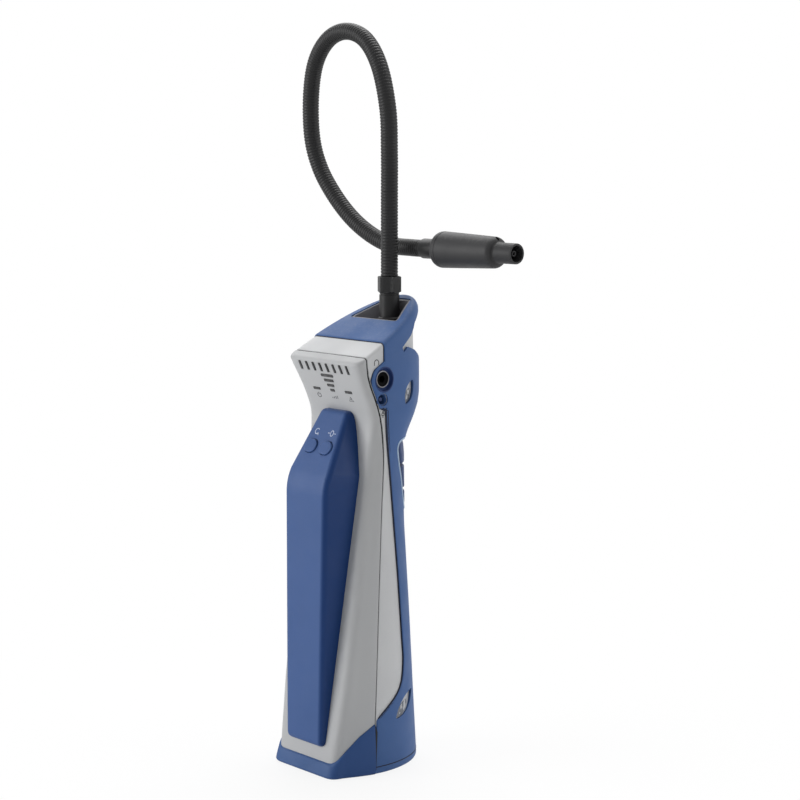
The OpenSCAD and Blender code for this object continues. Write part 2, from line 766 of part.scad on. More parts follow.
module neck_stem() color(near_black) translate([0, neck_y, 0]) difference() {
    union() {
        translate([0, 0, stem_low]) cylinder(neck_foot - stem_low, stem_r, stem_r);
        translate([0, 0, floor_z + well_floor_t]) cylinder(flange_h, sleeve_d / 2 + 0.8, sleeve_d / 2 + 0.8);
        translate([0, 0, floor_z + well_floor_t]) cylinder(sleeve_h, sleeve_d / 2, sleeve_d / 2);
        translate([0, 0, stem_low - spout_h]) cylinder(spout_h + 1, spout_r, spout_r);
    }
    translate([0, 0, stem_low - spout_h - 1]) cylinder(far, stem_bore / 4, stem_bore / 4);
    translate([0, 0, stem_low + 2]) cylinder(far, stem_bore / 2, stem_bore / 2);
}

lock_h = 4;
lock_r = 7;
module lock_nut() color("silver") translate([0, neck_y, floor_z - wall - film - seat - lock_h])
    difference() {
        cylinder(lock_h, lock_r, lock_r, $fn = 6);
        translate([0, 0, -1]) cylinder(lock_h + 2, stem_r + key_gap, stem_r + key_gap);
    }

module neck_nut() color(near_black) translate([0, neck_y, neck_foot]) difference() {
    cylinder(nut_h, nut_af / sqrt(3), nut_af / sqrt(3), $fn = 6);
    translate([0, 0, -1]) cylinder(nut_h + 2, neck_d / 2 + seat, neck_d / 2 + seat);
}

// Route of the neck from its foot, as offsets from the top of the nut
neck_top = neck_foot + nut_h;
route = [[0, 0, -neck_in], [0, 0, 12], [0, 0, 38], [0, 0, 64], [-1.4, 0.2, 86], [-8.6, 0.8, 108],
    [-21, 2, 122], [-37, 3, 127], [-53, 4.2, 123.5], [-65.4, 5.6, 112], [-71.6, 7.2, 94],
    [-73, 9, 72], [-69, 11, 55.5], [-59, 12.5, 41], [-45.4, 13.5, 28.6], [-30, 14, 20],
    [-14, 14, 15.2], [2, 14, 14.4], [14, 14, 14.4]];
sensor_y = neck_y + route[len(route) - 1][1];
sensor_z = neck_top + route[len(route) - 1][2];
sensor_x = route[len(route) - 1][0] + 9.4;

function spline(p0, p1, p2, p3, t) = (2 * p1 + (p2 - p0) * t + (2 * p0 - 5 * p1 + 4 * p2 - p3) * t * t
    + (3 * p1 - p0 - 3 * p2 + p3) * t * t * t) / 2;
function run_points(p, spacing) = let (n = len(p) - 1)
    [for (i = [0 : n - 1]) let (m = max(1, round(norm(p[i + 1] - p[i]) / spacing)))
        for (j = [0 : m - (i == n - 1 ? 0 : 1)])
            spline(p[max(i - 1, 0)], p[i], p[i + 1], p[min(i + 2, n)], j / m)];
function unit(v) = v / norm(v);
// Round section across the run at point i, with its first axis held near the depth axis
function section(c, i, r, sides) = let (
    t = unit(c[min(i + 1, len(c) - 1)] - c[max(i - 1, 0)]), a = unit([0, 1, 0] - t[1] * t), b = cross(t, a))
    [for (k = [0 : sides - 1]) c[i] + r * (cos(k * 360 / sides) * a + sin(k * 360 / sides) * b)];

neck_sides = 8;
module gooseneck() color(near_black) translate([0, neck_y, neck_top]) {
    c = run_points(route, rib_pitch / 2);
    skin([for (i = [0 : len(c) - 1]) section(c, i, neck_d / 2 - (i % 2) * rib_depth, neck_sides)]);
}

module on_sensor(x) { translate([sensor_x + x, sensor_y, sensor_z]) rotate([0, 90, 0]) children(); }

module neck_ferrule() color(near_black) on_sensor(-ferrule_l) difference() {
    cylinder(ferrule_l, ferrule_d / 2, ferrule_d / 2);
    translate([0, 0, -1]) cylinder(ferrule_l - 1.4, neck_d / 2 + seat, neck_d / 2 + seat);
}

// Sensor head: turned profile as radius and length, with rounded ends
heel_r = 3;
neck_round = 3.4;
sensor_wall = 1.6;
vent_r = 0.9;
function arc_points(c, r, from, to) =
    [for (i = [0 : 6]) let (a = from + (to - from) * i / 6) c + r * [cos(a), sin(a)]];
cell_bore = shoulder_d / 2 - sensor_wall - 1;
cell_low = 4;
cell_top = sensor_l - 6;
tip_r = 1.5;
snout_edge = 0.6;
inlet_back = 2;

module sensor_cover() color(near_black) on_sensor(0) difference() {
    rotate_extrude() polygon([[0, 0], each arc_points([sensor_d / 2 - heel_r, heel_r], heel_r, -90, 0),
        each arc_points([shoulder_d / 2 - neck_round, sensor_l - neck_round], neck_round, 5, 80),
        [snout_d / 2 + snout_edge / 2, sensor_l], [snout_d / 2, sensor_l + snout_l - snout_edge],
        [snout_d / 2 - snout_edge, sensor_l + snout_l], [0, sensor_l + snout_l]]);
    translate([0, 0, cell_low]) cylinder(cell_top - cell_low, cell_bore + seat, cell_bore + seat);
    translate([0, 0, sensor_l - sensor_wall]) cylinder(far, snout_bore / 2, snout_bore / 2);
    translate([0, 0, cell_top - 1]) cylinder(far, tip_r + seat, tip_r + seat);
    translate([vent_r - shoulder_d / 2, 0, sensor_l]) rotate([0, -35, 0]) translate([0, 0, -3])
        cylinder(6, vent_r, vent_r);
}

module sensor_cell() color("silver") on_sensor(cell_low + seat) difference() {
    cylinder(cell_top - cell_low - 2 * seat, cell_bore, cell_bore);
    translate([0, 0, cell_top - cell_low - 3]) cylinder(far, tip_r / 2, tip_r / 2);
}

module inlet_tube() color(near_black) on_sensor(cell_top + seat) difference() {
    cylinder(sensor_l + snout_l - inlet_back - cell_top - seat, tip_r, tip_r);
    translate([0, 0, -1]) cylinder(far, tip_r / 2, tip_r / 2);
}

module sample_tube() color("whitesmoke") {
    low = pump_z + pump_h + head_box[2] + seat;
    high = stem_low - seat;
    c = run_points([[0, pump_y, low], [0, pump_y, low + 8], [0, (pump_y + neck_y) / 2, (low + high) / 2],
        [0, neck_y, high - 8], [0, neck_y, high]], 7);
    moulded() difference() {
        skin([for (i = [0 : len(c) - 1]) tube_section(c, i, tube_d / 2, 8)]);
        skin([for (i = [0 : len(c) - 1]) tube_section(tube_ends(c), i, tube_d / 2 - tube_wall, 8)]);
    }
}

function tube_section(c, i, r, sides) = let (
    t = unit(c[min(i + 1, len(c) - 1)] - c[max(i - 1, 0)]), a = [1, 0, 0], b = cross(t, a))
    [for (k = [0 : sides - 1]) c[i] + r * (cos(k * 360 / sides) * a + sin(k * 360 / sides) * b)];
function tube_ends(c) = [for (i = [0 : len(c) - 1])
    i == 0 ? c[0] - [0, 0, 1] : i == len(c) - 1 ? c[i] + [0, 0, 1] : c[i]];

// Screws with a cross recess
cross_w = 0.8;
cross_depth = 0.9;
door_screw_l = 9;
door_sunk = 0.5;

module screw() {
    head_end = head_seat + seat + head_h;
    difference() {
        union() {
            along_y(boss_join - bite, head_end - head_h / 2, screw_d / 2);
            along_y(head_seat + seat, head_end, head_r);
        }
        translate([-head_r, head_end - cross_depth, -cross_w / 2]) cube([2 * head_r, head_h, cross_w]);
        translate([-cross_w / 2, head_end - cross_depth, -head_r]) cube([cross_w, head_h, 2 * head_r]);
    }
}

module housing_screws() color("silver") at_screws() screw();

module door_screw() color("silver") translate([0, door_screw_y, door_sunk]) union() {
    cylinder(head_h - door_sunk - seat, head_r, head_r);
    cylinder(door_screw_l, screw_d / 2, screw_d / 2);
}

front_shell();
rear_shell();
rear_cover();
base_band();
finger_pads();
grip_panel();
mode_button();
zero_button();
key_board();
key_switches();
signal_bars();
level_bars();
power_light();
fault_light();
display_board();
main_board();
buzzer();
phone_socket();
phone_ring();
charge_socket();
charge_pin();
battery_door();
battery_pack();
battery_contacts();
air_pump();
pump_head();
sample_tube();
probe_well();
neck_stem();
lock_nut();
neck_nut();
gooseneck();
neck_ferrule();
sensor_cover();
sensor_cell();
inlet_tube();
housing_screws();
door_screw();
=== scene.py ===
"""Looks of a hand-held refrigerant leak detector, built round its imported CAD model.

The classes hold their sizes in millimetres, in the CAD model's frame. Meshes are made in metres.
"""

import logging
import math
from dataclasses import dataclass, field, replace
from enum import Enum
from typing import Callable, Sequence

import bmesh
import bpy
import numpy as np
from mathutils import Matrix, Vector


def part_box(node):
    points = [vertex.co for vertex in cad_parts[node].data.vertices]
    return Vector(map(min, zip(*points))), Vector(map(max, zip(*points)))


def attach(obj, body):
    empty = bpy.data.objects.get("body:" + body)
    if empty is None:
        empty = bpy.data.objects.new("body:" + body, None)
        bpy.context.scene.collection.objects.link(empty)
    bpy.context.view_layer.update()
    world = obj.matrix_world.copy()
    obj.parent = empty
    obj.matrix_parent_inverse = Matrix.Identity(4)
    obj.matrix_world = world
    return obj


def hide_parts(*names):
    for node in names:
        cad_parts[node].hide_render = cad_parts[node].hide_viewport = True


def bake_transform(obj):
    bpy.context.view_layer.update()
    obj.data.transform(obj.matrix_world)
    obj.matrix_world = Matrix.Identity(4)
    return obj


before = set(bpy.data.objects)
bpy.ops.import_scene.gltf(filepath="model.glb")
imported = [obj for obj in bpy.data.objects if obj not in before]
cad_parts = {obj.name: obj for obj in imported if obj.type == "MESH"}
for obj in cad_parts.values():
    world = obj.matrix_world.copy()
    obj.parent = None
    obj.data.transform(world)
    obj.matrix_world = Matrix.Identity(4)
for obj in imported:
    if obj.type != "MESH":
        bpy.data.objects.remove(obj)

LOG = logging.getLogger("leak_detector")
MM = 0.001
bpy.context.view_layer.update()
DUST_TINT = (0.8, 0.79, 0.77)
CUT_REACH = 60.0
CUT_TOP = 300.0
CLEARANCE = 0.06
Faces = list[tuple[int, ...]]
Colour = tuple[float, float, float]
Table = tuple[tuple[float, float], ...]
Piece = bpy.types.Object
Tree = bpy.types.NodeTree
Socket = bpy.types.NodeSocket
Node = bpy.types.Node


class Body(Enum):
    """Bodies of the CAD model that a piece can ride on."""

    HOUSING = "housing"
    MODE_KEY = "mode_key"
    ZERO_KEY = "zero_key"
    PROBE = "probe"


class Slot(Enum):
    """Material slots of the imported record."""

    SHELL_GREY = "shell_grey"
    SOFT_BLUE = "soft_blue"
    PANEL_BLUE = "panel_blue"
    DEEP_BLUE = "deep_blue"
    KEY_BLUE = "key_blue"
    LENS_DARK = "lens_dark"
    BOARD_GREEN = "board_green"
    BLACK_PLASTIC = "black_plastic"
    PLATED_RING = "plated_ring"
    CONTACT_BRASS = "contact_brass"
    STEEL = "steel"
    CELL_WRAP = "cell_wrap"
    SILICONE = "silicone"
    NECK_BLACK = "neck_black"
    SENSOR_BLACK = "sensor_black"


class Effect(Enum):
    """Shared surface effects, each a shader node group."""

    GRAIN = "moulded_grain"
    DRIFT = "tint_drift"
    WEAR = "edge_wear"
    DUST = "settled_dust"
    # Painted shade: a darker colour on faces turned to the left or to the right.
    FLANK = "flank_shade"


class SocketKind(Enum):
    """Kinds of socket that a shared effect has."""

    VALUE = "NodeSocketFloat"
    COLOUR = "NodeSocketColor"


class Axis(Enum):
    """Axes of the frame."""

    X = "X"
    Y = "Y"
    Z = "Z"


class Stretch(Enum):
    """Which side of its border a housing shell covers."""

    FRONT = -1
    REAR = 1


class Foot(Enum):
    """How a housing shell ends at the bottom."""

    FLOOR = "floor"
    RIM = "rim"


def to_linear(colour: Colour) -> tuple[float, float, float, float]:
    """Turns a colour as seen on a screen into linear light.

    Args:
        colour: Red, green and blue from 0 to 1 as a screen shows them.

    Returns:
        Linear red, green, blue and an alpha of 1.
    """
    lin = [c / 12.92 if c <= 0.04045 else ((c + 0.055) / 1.055) ** 2.4 for c in colour]
    return (lin[0], lin[1], lin[2], 1.0)


# ---------------- finishes


def math_node(tree: Tree, operation: str, *values: Socket) -> Socket:
    """Adds a math node.

    Args:
        tree: The node tree.
        operation: Its operation.
        values: Sockets that feed it.

    Returns:
        Socket of the result.
    """
    node = tree.nodes.new("ShaderNodeMath")
    node.operation = operation
    for i, value in enumerate(values):
        tree.links.new(value, node.inputs[i])
    return node.outputs[0]


class EffectShelf:
    """Builds each shared shader node group once and hands it out."""

    def __init__(self) -> None:
        """Starts with no group built."""
        self._groups: dict[Effect, Tree] = {}

    def get(self, effect: Effect) -> Tree:
        """Gives the node group of an effect, building it at its first use.

        Args:
            effect: The effect wanted.

        Returns:
            The shader node group.
        """
        tints = {
            Effect.DRIFT: ("Other", self._drift),
            Effect.WEAR: ("Worn", self._wear),
            Effect.DUST: ("Dust", self._dust),
            Effect.FLANK: ("Flank", self._flank),
        }
        if effect not in self._groups:
            self._groups[effect] = self._tint(effect, *tints[effect]) if effect in tints else self._grain()
        return self._groups[effect]

    @staticmethod
    def _open(
        effect: Effect, inputs: dict[str, SocketKind], outputs: dict[str, SocketKind]
    ) -> tuple[Tree, Node, Node]:
        """Makes an empty group with named sockets.

        Args:
            effect: The effect that the group is for.
            inputs: Name and kind of each input.
            outputs: Name and kind of each output.

        Returns:
            The group, its input node and its output node.
        """
        tree = bpy.data.node_groups.new(effect.value, "ShaderNodeTree")
        for way, sockets in (("INPUT", inputs), ("OUTPUT", outputs)):
            for name, kind in sockets.items():
                tree.interface.new_socket(name, in_out=way, socket_type=kind.value)
        return tree, tree.nodes.new("NodeGroupInput"), tree.nodes.new("NodeGroupOutput")

    def _tint(self, effect: Effect, second: str, mask: Callable[[Tree], Socket]) -> Tree:
        """Builds a group that mixes a second colour into the first one where a mask says so.

        Args:
            effect: The effect that the group is for.
            second: Name of the second colour's input.
            mask: Builds the mask in the group.

        Returns:
            The group.
        """
        inputs = {"Color": SocketKind.COLOUR, second: SocketKind.COLOUR, "Amount": SocketKind.VALUE}
        tree, into, out = self._open(effect, inputs, {"Color": SocketKind.COLOUR})
        mix = tree.nodes.new("ShaderNodeMix")
        mix.data_type = "RGBA"
        share = math_node(tree, "MULTIPLY", mask(tree), into.outputs["Amount"])
        for source, number in ((share, 0), (into.outputs["Color"], 6), (into.outputs[second], 7)):
            tree.links.new(source, mix.inputs[number])
        tree.links.new(mix.outputs[2], out.inputs["Color"])
        return tree

    @staticmethod
    def _noise(tree: Tree, scale: float, detail: float) -> Socket:
        """Adds a noise texture on object coordinates.

        Args:
            tree: The node tree.
            scale: Noise scale per metre.
            detail: Noise detail.

        Returns:
            Socket of the noise.
        """
        noise = tree.nodes.new("ShaderNodeTexNoise")
        noise.inputs["Scale"].default_value = scale
        noise.inputs["Detail"].default_value = detail
        tree.links.new(tree.nodes.new("ShaderNodeTexCoord").outputs["Object"], noise.inputs["Vector"])
        return noise.outputs[0]

    @staticmethod
    def _spread(tree: Tree, source: Socket, low: float, high: float, least: float = 0.0) -> Socket:
        """Maps a range of a value to the range from least to 1, and clamps it.

        Args:
            tree: The node tree.
            source: Socket to map.
            low: Value that maps to least.
            high: Value that maps to 1.
            least: Lower end of the result.

        Returns:
            Socket of the result.
        """
        node = tree.nodes.new("ShaderNodeMapRange")
        for name, value in (("From Min", low), ("From Max", high), ("To Min", least), ("To Max", 1.0)):
            node.inputs[name].default_value = value
        tree.links.new(source, node.inputs["Value"])
        return node.outputs[0]

    @staticmethod
    def _facing(tree: Tree, axis: Axis) -> Socket:
        """Gives how far a face turns towards an axis.

        Args:
            tree: The node tree.
            axis: X or Z.

        Returns:
            Socket of that part of the normal.
        """
        parts = tree.nodes.new("ShaderNodeSeparateXYZ")
        tree.links.new(tree.nodes.new("ShaderNodeNewGeometry").outputs["Normal"], parts.inputs[0])
        return parts.outputs[axis.value]

    def _grain(self) -> Tree:
        """Builds the fine spark-eroded grain of a moulded surface.

        Returns:
            The group.
        """
        value = SocketKind.VALUE
        inputs = {"Scale": value, "Rough Low": value, "Rough High": value}
        tree, into, out = self._open(Effect.GRAIN, inputs, {"Height": value, "Roughness": value})
        fine = self._noise(tree, 2500.0, 2.0)
        rough = self._spread(tree, self._noise(tree, 90.0, 4.0), 0.3, 0.7)
        tree.links.new(into.outputs["Scale"], fine.node.inputs["Scale"])
        tree.links.new(into.outputs["Rough Low"], rough.node.inputs["To Min"])
        tree.links.new(into.outputs["Rough High"], rough.node.inputs["To Max"])
        tree.links.new(fine, out.inputs["Height"])
        tree.links.new(rough, out.inputs["Roughness"])
        return tree

    def _broken(
        self, tree: Tree, base: Socket, noise: tuple[float, float], low: float, high: float, least: float
    ) -> Socket:
        """Breaks a mask up with noise.

        Args:
            tree: The group.
            base: Socket of the mask.
            noise: Scale and detail of the noise.
            low: Noise that leaves the least of the mask.
            high: Noise that leaves all of it.
            least: Share of the mask that is left at least.

        Returns:
            Socket of the broken mask.
        """
        return math_node(tree, "MULTIPLY", base, self._spread(tree, self._noise(tree, *noise), low, high, least))

    def _drift(self, tree: Tree) -> Socket:
        """Gives the mask of a slow drift of the colour, with fine specks."""
        slow = self._spread(tree, self._noise(tree, 26.0, 3.0), 0.35, 0.65)
        return self._broken(tree, slow, (1400.0, 2.0), 0.3, 0.7, 0.4)

    def _wear(self, tree: Tree) -> Socket:
        """Gives the mask of light rubbing along edges."""
        edge = self._spread(tree, tree.nodes.new("ShaderNodeNewGeometry").outputs["Pointiness"], 0.53, 0.66)
        return self._broken(tree, edge, (320.0, 4.0), 0.35, 0.65, 0.2)

    def _dust(self, tree: Tree) -> Socket:
        """Gives the mask of thin dust on faces turned up."""
        up = self._spread(tree, self._facing(tree, Axis.Z), 0.35, 0.95)
        return self._broken(tree, up, (700.0, 5.0), 0.5, 0.72, 0.1)

    def _flank(self, tree: Tree) -> Socket:
        """Gives the mask of faces turned to the left or to the right, which get a painted shade."""
        aside = math_node(tree, "ABSOLUTE", self._facing(tree, Axis.X))
        return self._spread(tree, aside, 0.15, 0.65)


@dataclass(frozen=True)
class Finish:
    """One finish of the detector: its colour, gloss, grain, drift, wear, dust and, on some, painted shade on faces
    turned to the sides.
    """

    name: str
    slot: Slot
    colour: Colour
    other: Colour
    rough: tuple[float, float] = (0.4, 0.55)
    metallic: float = 0.0
    specular: float = 0.5
    grain_scale: float = 2600.0
    grain_depth: float = 0.00002
    drift: float = 0.6
    worn: Colour = (0.8, 0.8, 0.8)
    wear: float = 0.12
    dust: float = 0.06
    sheen: float = 0.0
    painted_flank_shade: Colour | None = None

    def make(self, shelf: EffectShelf) -> bpy.types.Material:
        """Builds the finish as a material.

        Args:
            shelf: The shared effects.

        Returns:
            The material.
        """
        made = bpy.data.materials.get(self.name)
        if made is not None:
            return made
        mat = bpy.data.materials.new(self.name)
        mat.use_nodes = True
        tree = mat.node_tree
        shader = tree.nodes["Principled BSDF"]
        drift = self._place(
            tree, shelf, Effect.DRIFT,
            {"Color": to_linear(self.colour), "Other": to_linear(self.other), "Amount": self.drift},
        )
        wear = self._place(tree, shelf, Effect.WEAR, {"Worn": to_linear(self.worn), "Amount": self.wear})
        dust = self._place(tree, shelf, Effect.DUST, {"Dust": to_linear(DUST_TINT), "Amount": self.dust})
        grain = self._place(
            tree, shelf, Effect.GRAIN,
            {"Scale": self.grain_scale, "Rough Low": self.rough[0], "Rough High": self.rough[1]},
        )
        bump = tree.nodes.new("ShaderNodeBump")
        bump.inputs["Strength"].default_value = 0.5
        bump.inputs["Distance"].default_value = self.grain_depth
        ground = drift.outputs["Color"]
        # Painted shade: faces turned to the sides get the darker flank colour.
        if self.painted_flank_shade is not None:
            shade = self._place(tree, shelf, Effect.FLANK, {"Flank": to_linear(self.painted_flank_shade), "Amount": 1.0})
            tree.links.new(ground, shade.inputs["Color"])
            ground = shade.outputs["Color"]
        for source, target in (
            (ground, wear.inputs["Color"]),
            (wear.outputs["Color"], dust.inputs["Color"]),
            (dust.outputs["Color"], shader.inputs["Base Color"]),
            (grain.outputs["Roughness"], shader.inputs["Roughness"]),
            (grain.outputs["Height"], bump.inputs["Height"]),
            (bump.outputs["Normal"], shader.inputs["Normal"]),
        ):
            tree.links.new(source, target)
        shader.inputs["Metallic"].default_value = self.metallic
        shader.inputs["Specular IOR Level"].default_value = self.specular
        shader.inputs["Sheen Weight"].default_value = self.sheen
        return mat

    @staticmethod
    def _place(tree: Tree, shelf: EffectShelf, effect: Effect, values: dict[str, object]) -> Node:
        """Places a shared effect in a material.

        Args:
            tree: The material's node tree.
            shelf: The shared effects.
            effect: The effect wanted.
            values: Values of its inputs.

        Returns:
            The effect's node.
        """
        node = tree.nodes.new("ShaderNodeGroup")
        node.node_tree = shelf.get(effect)
        for name, value in values.items():
            node.inputs[name].default_value = value
        return node


SHELL_GREY = Finish(
    "shell_grey_moulded", Slot.SHELL_GREY, (0.665, 0.67, 0.675), (0.64, 0.645, 0.655), (0.42, 0.56), wear=0.1
)
# A paler copy of the shell grey for the rear moulding: painted light on the same plastic as the front shell.
SHELL_GREY_LIT = Finish(
    "shell_grey_painted_light", Slot.SHELL_GREY, (0.745, 0.75, 0.755), (0.715, 0.72, 0.73), (0.42, 0.56), wear=0.1
)
SHELL_GLOSS = Finish(
    "shell_grey_polished", Slot.SHELL_GREY, (0.66, 0.67, 0.69), (0.6, 0.61, 0.63), (0.16, 0.24), grain_depth=0.000004
)
# Painted shade: a darker grey for a lens laid over the lower part of each window's inlay.
INLAY_SHADE = Finish(
    "inlay_painted_shade", Slot.SHELL_GREY, (0.34, 0.36, 0.4), (0.3, 0.32, 0.36), (0.2, 0.3), wear=0.0, dust=0.0
)
SOFT_BLUE = Finish(
    "soft_blue_covering", Slot.SOFT_BLUE, (0.235, 0.36, 0.56), (0.19, 0.31, 0.49), (0.5, 0.62),
    specular=0.28, grain_scale=3200.0, grain_depth=0.00003, worn=(0.42, 0.5, 0.66), wear=0.2,
)
# The base band's blue, a little darker than the covering, with painted shade on its flanks.
BAND_BLUE = replace(SOFT_BLUE, name="band_blue_soft", colour=(0.21, 0.33, 0.52), painted_flank_shade=(0.15, 0.275, 0.475))
# Panel blue; its flanks turned to the sides get a dark navy painted shade.
PANEL_BLUE = Finish(
    "panel_blue_moulded", Slot.PANEL_BLUE, (0.22, 0.33, 0.53), (0.2, 0.31, 0.5), (0.44, 0.56),
    specular=0.25, worn=(0.4, 0.5, 0.66), painted_flank_shade=(0.03, 0.19, 0.4),
)
KEY_BLUE = Finish(
    "key_blue_moulded", Slot.KEY_BLUE, (0.22, 0.33, 0.53), (0.2, 0.31, 0.5), (0.44, 0.56), specular=0.25
)
DEEP_BLUE = Finish(
    "deep_blue_ribs", Slot.DEEP_BLUE, (0.13, 0.22, 0.42), (0.11, 0.19, 0.37), (0.55, 0.68), specular=0.25
)
# A lighter copy of the deep blue for the ribs: painted sheen, for the light they catch at a grazing angle.
FINGER_BLUE_LIT = Finish(
    "finger_blue_painted_sheen", Slot.DEEP_BLUE, (0.25, 0.31, 0.46), (0.22, 0.28, 0.42), (0.6, 0.72), specular=0.3, sheen=0.1
)
# Painted highlight: a pale blue-grey for the bead that stands in for the lit rim of the finger opening.
EDGE_HIGHLIGHT = Finish(
    "edge_painted_highlight", Slot.SOFT_BLUE, (0.66, 0.74, 0.83), (0.63, 0.71, 0.8), (0.5, 0.62), wear=0.0, dust=0.0
)
# Painted shade: a dark navy for strips laid along edges, in gaps and between ribs, where shade falls.
EDGE_SHADE_NAVY = Finish(
    "edge_navy_painted_shade", Slot.DEEP_BLUE, (0.07, 0.11, 0.2), (0.06, 0.1, 0.18), (0.55, 0.7), specular=0.3, wear=0.0, dust=0.0
)
LENS_DARK = Finish(
    "lens_dark_tinted", Slot.LENS_DARK, (0.1, 0.1, 0.11), (0.08, 0.08, 0.09), (0.3, 0.4),
    specular=0.2, grain_depth=0.000003,
)
SIGN_INK = Finish(
    "sign_ink_dark", Slot.LENS_DARK, (0.16, 0.17, 0.19), (0.2, 0.21, 0.23), (0.5, 0.62), wear=0.0, dust=0.0
)
SIGN_PALE = Finish(
    "sign_ink_pale", Slot.SHELL_GREY, (0.72, 0.76, 0.84), (0.66, 0.7, 0.8), (0.5, 0.62), wear=0.0, dust=0.0
)
BLACK_PLASTIC = Finish(
    "black_plastic_moulded", Slot.BLACK_PLASTIC, (0.09, 0.09, 0.095), (0.07, 0.07, 0.075), (0.36, 0.5), specular=0.25
)
# Black plastic made darker still and almost without gloss: painted shade in the earphone socket's hole.
SOCKET_BLACK = Finish(
    "socket_black_painted_shade", Slot.BLACK_PLASTIC, (0.02, 0.02, 0.025), (0.015, 0.015, 0.02), (0.5, 0.65),
    specular=0.05, wear=0.0,
)
WELL_GREY = Finish(
    "well_grey_moulded", Slot.BLACK_PLASTIC, (0.48, 0.48, 0.5), (0.44, 0.44, 0.46), (0.5, 0.64), worn=(0.55, 0.55, 0.56)
)
# Painted shade: a near-black for the cord that darkens the shut line between the shells.
SEAM_SHADE_BLACK = Finish(
    "seam_black_painted_shade", Slot.BLACK_PLASTIC, (0.1, 0.1, 0.11), (0.08, 0.08, 0.09), (0.6, 0.75),
    specular=0.3, wear=0.0, dust=0.0,
)
NECK_BLACK = Finish(
    "neck_black_ribbed", Slot.NECK_BLACK, (0.09, 0.09, 0.095), (0.075, 0.075, 0.08), (0.4, 0.52),
    specular=0.28, worn=(0.16, 0.16, 0.165),
)
SENSOR_BLACK = Finish(
    "sensor_black_moulded", Slot.SENSOR_BLACK, (0.2, 0.2, 0.205), (0.18, 0.18, 0.185), (0.45, 0.56),
    specular=0.25, worn=(0.3, 0.3, 0.3),
)
PLATED_RING = Finish(
    "plated_ring_bright", Slot.PLATED_RING, (0.5, 0.5, 0.52), (0.45, 0.45, 0.47), (0.3, 0.42),
    metallic=1.0, grain_depth=0.000004, dust=0.0,
)
CONTACT_BRASS = Finish(
    "contact_brass_plated", Slot.CONTACT_BRASS, (0.8, 0.65, 0.36), (0.7, 0.54, 0.28), (0.26, 0.4),
    metallic=1.0, dust=0.0,
)
STEEL = Finish("screw_steel", Slot.STEEL, (0.62, 0.62, 0.63), (0.5, 0.5, 0.52), (0.28, 0.42), metallic=1.0, dust=0.0)
BOARD_GREEN = Finish("board_green_masked", Slot.BOARD_GREEN, (0.1, 0.34, 0.2), (0.08, 0.28, 0.17), (0.3, 0.42))
CELL_WRAP = Finish("cell_wrap_film", Slot.CELL_WRAP, (0.2, 0.32, 0.52), (0.16, 0.27, 0.46), (0.22, 0.34))
SILICONE = Finish("silicone_tube", Slot.SILICONE, (0.82, 0.82, 0.8), (0.76, 0.76, 0.73), (0.3, 0.42))


# ---------------- meshes


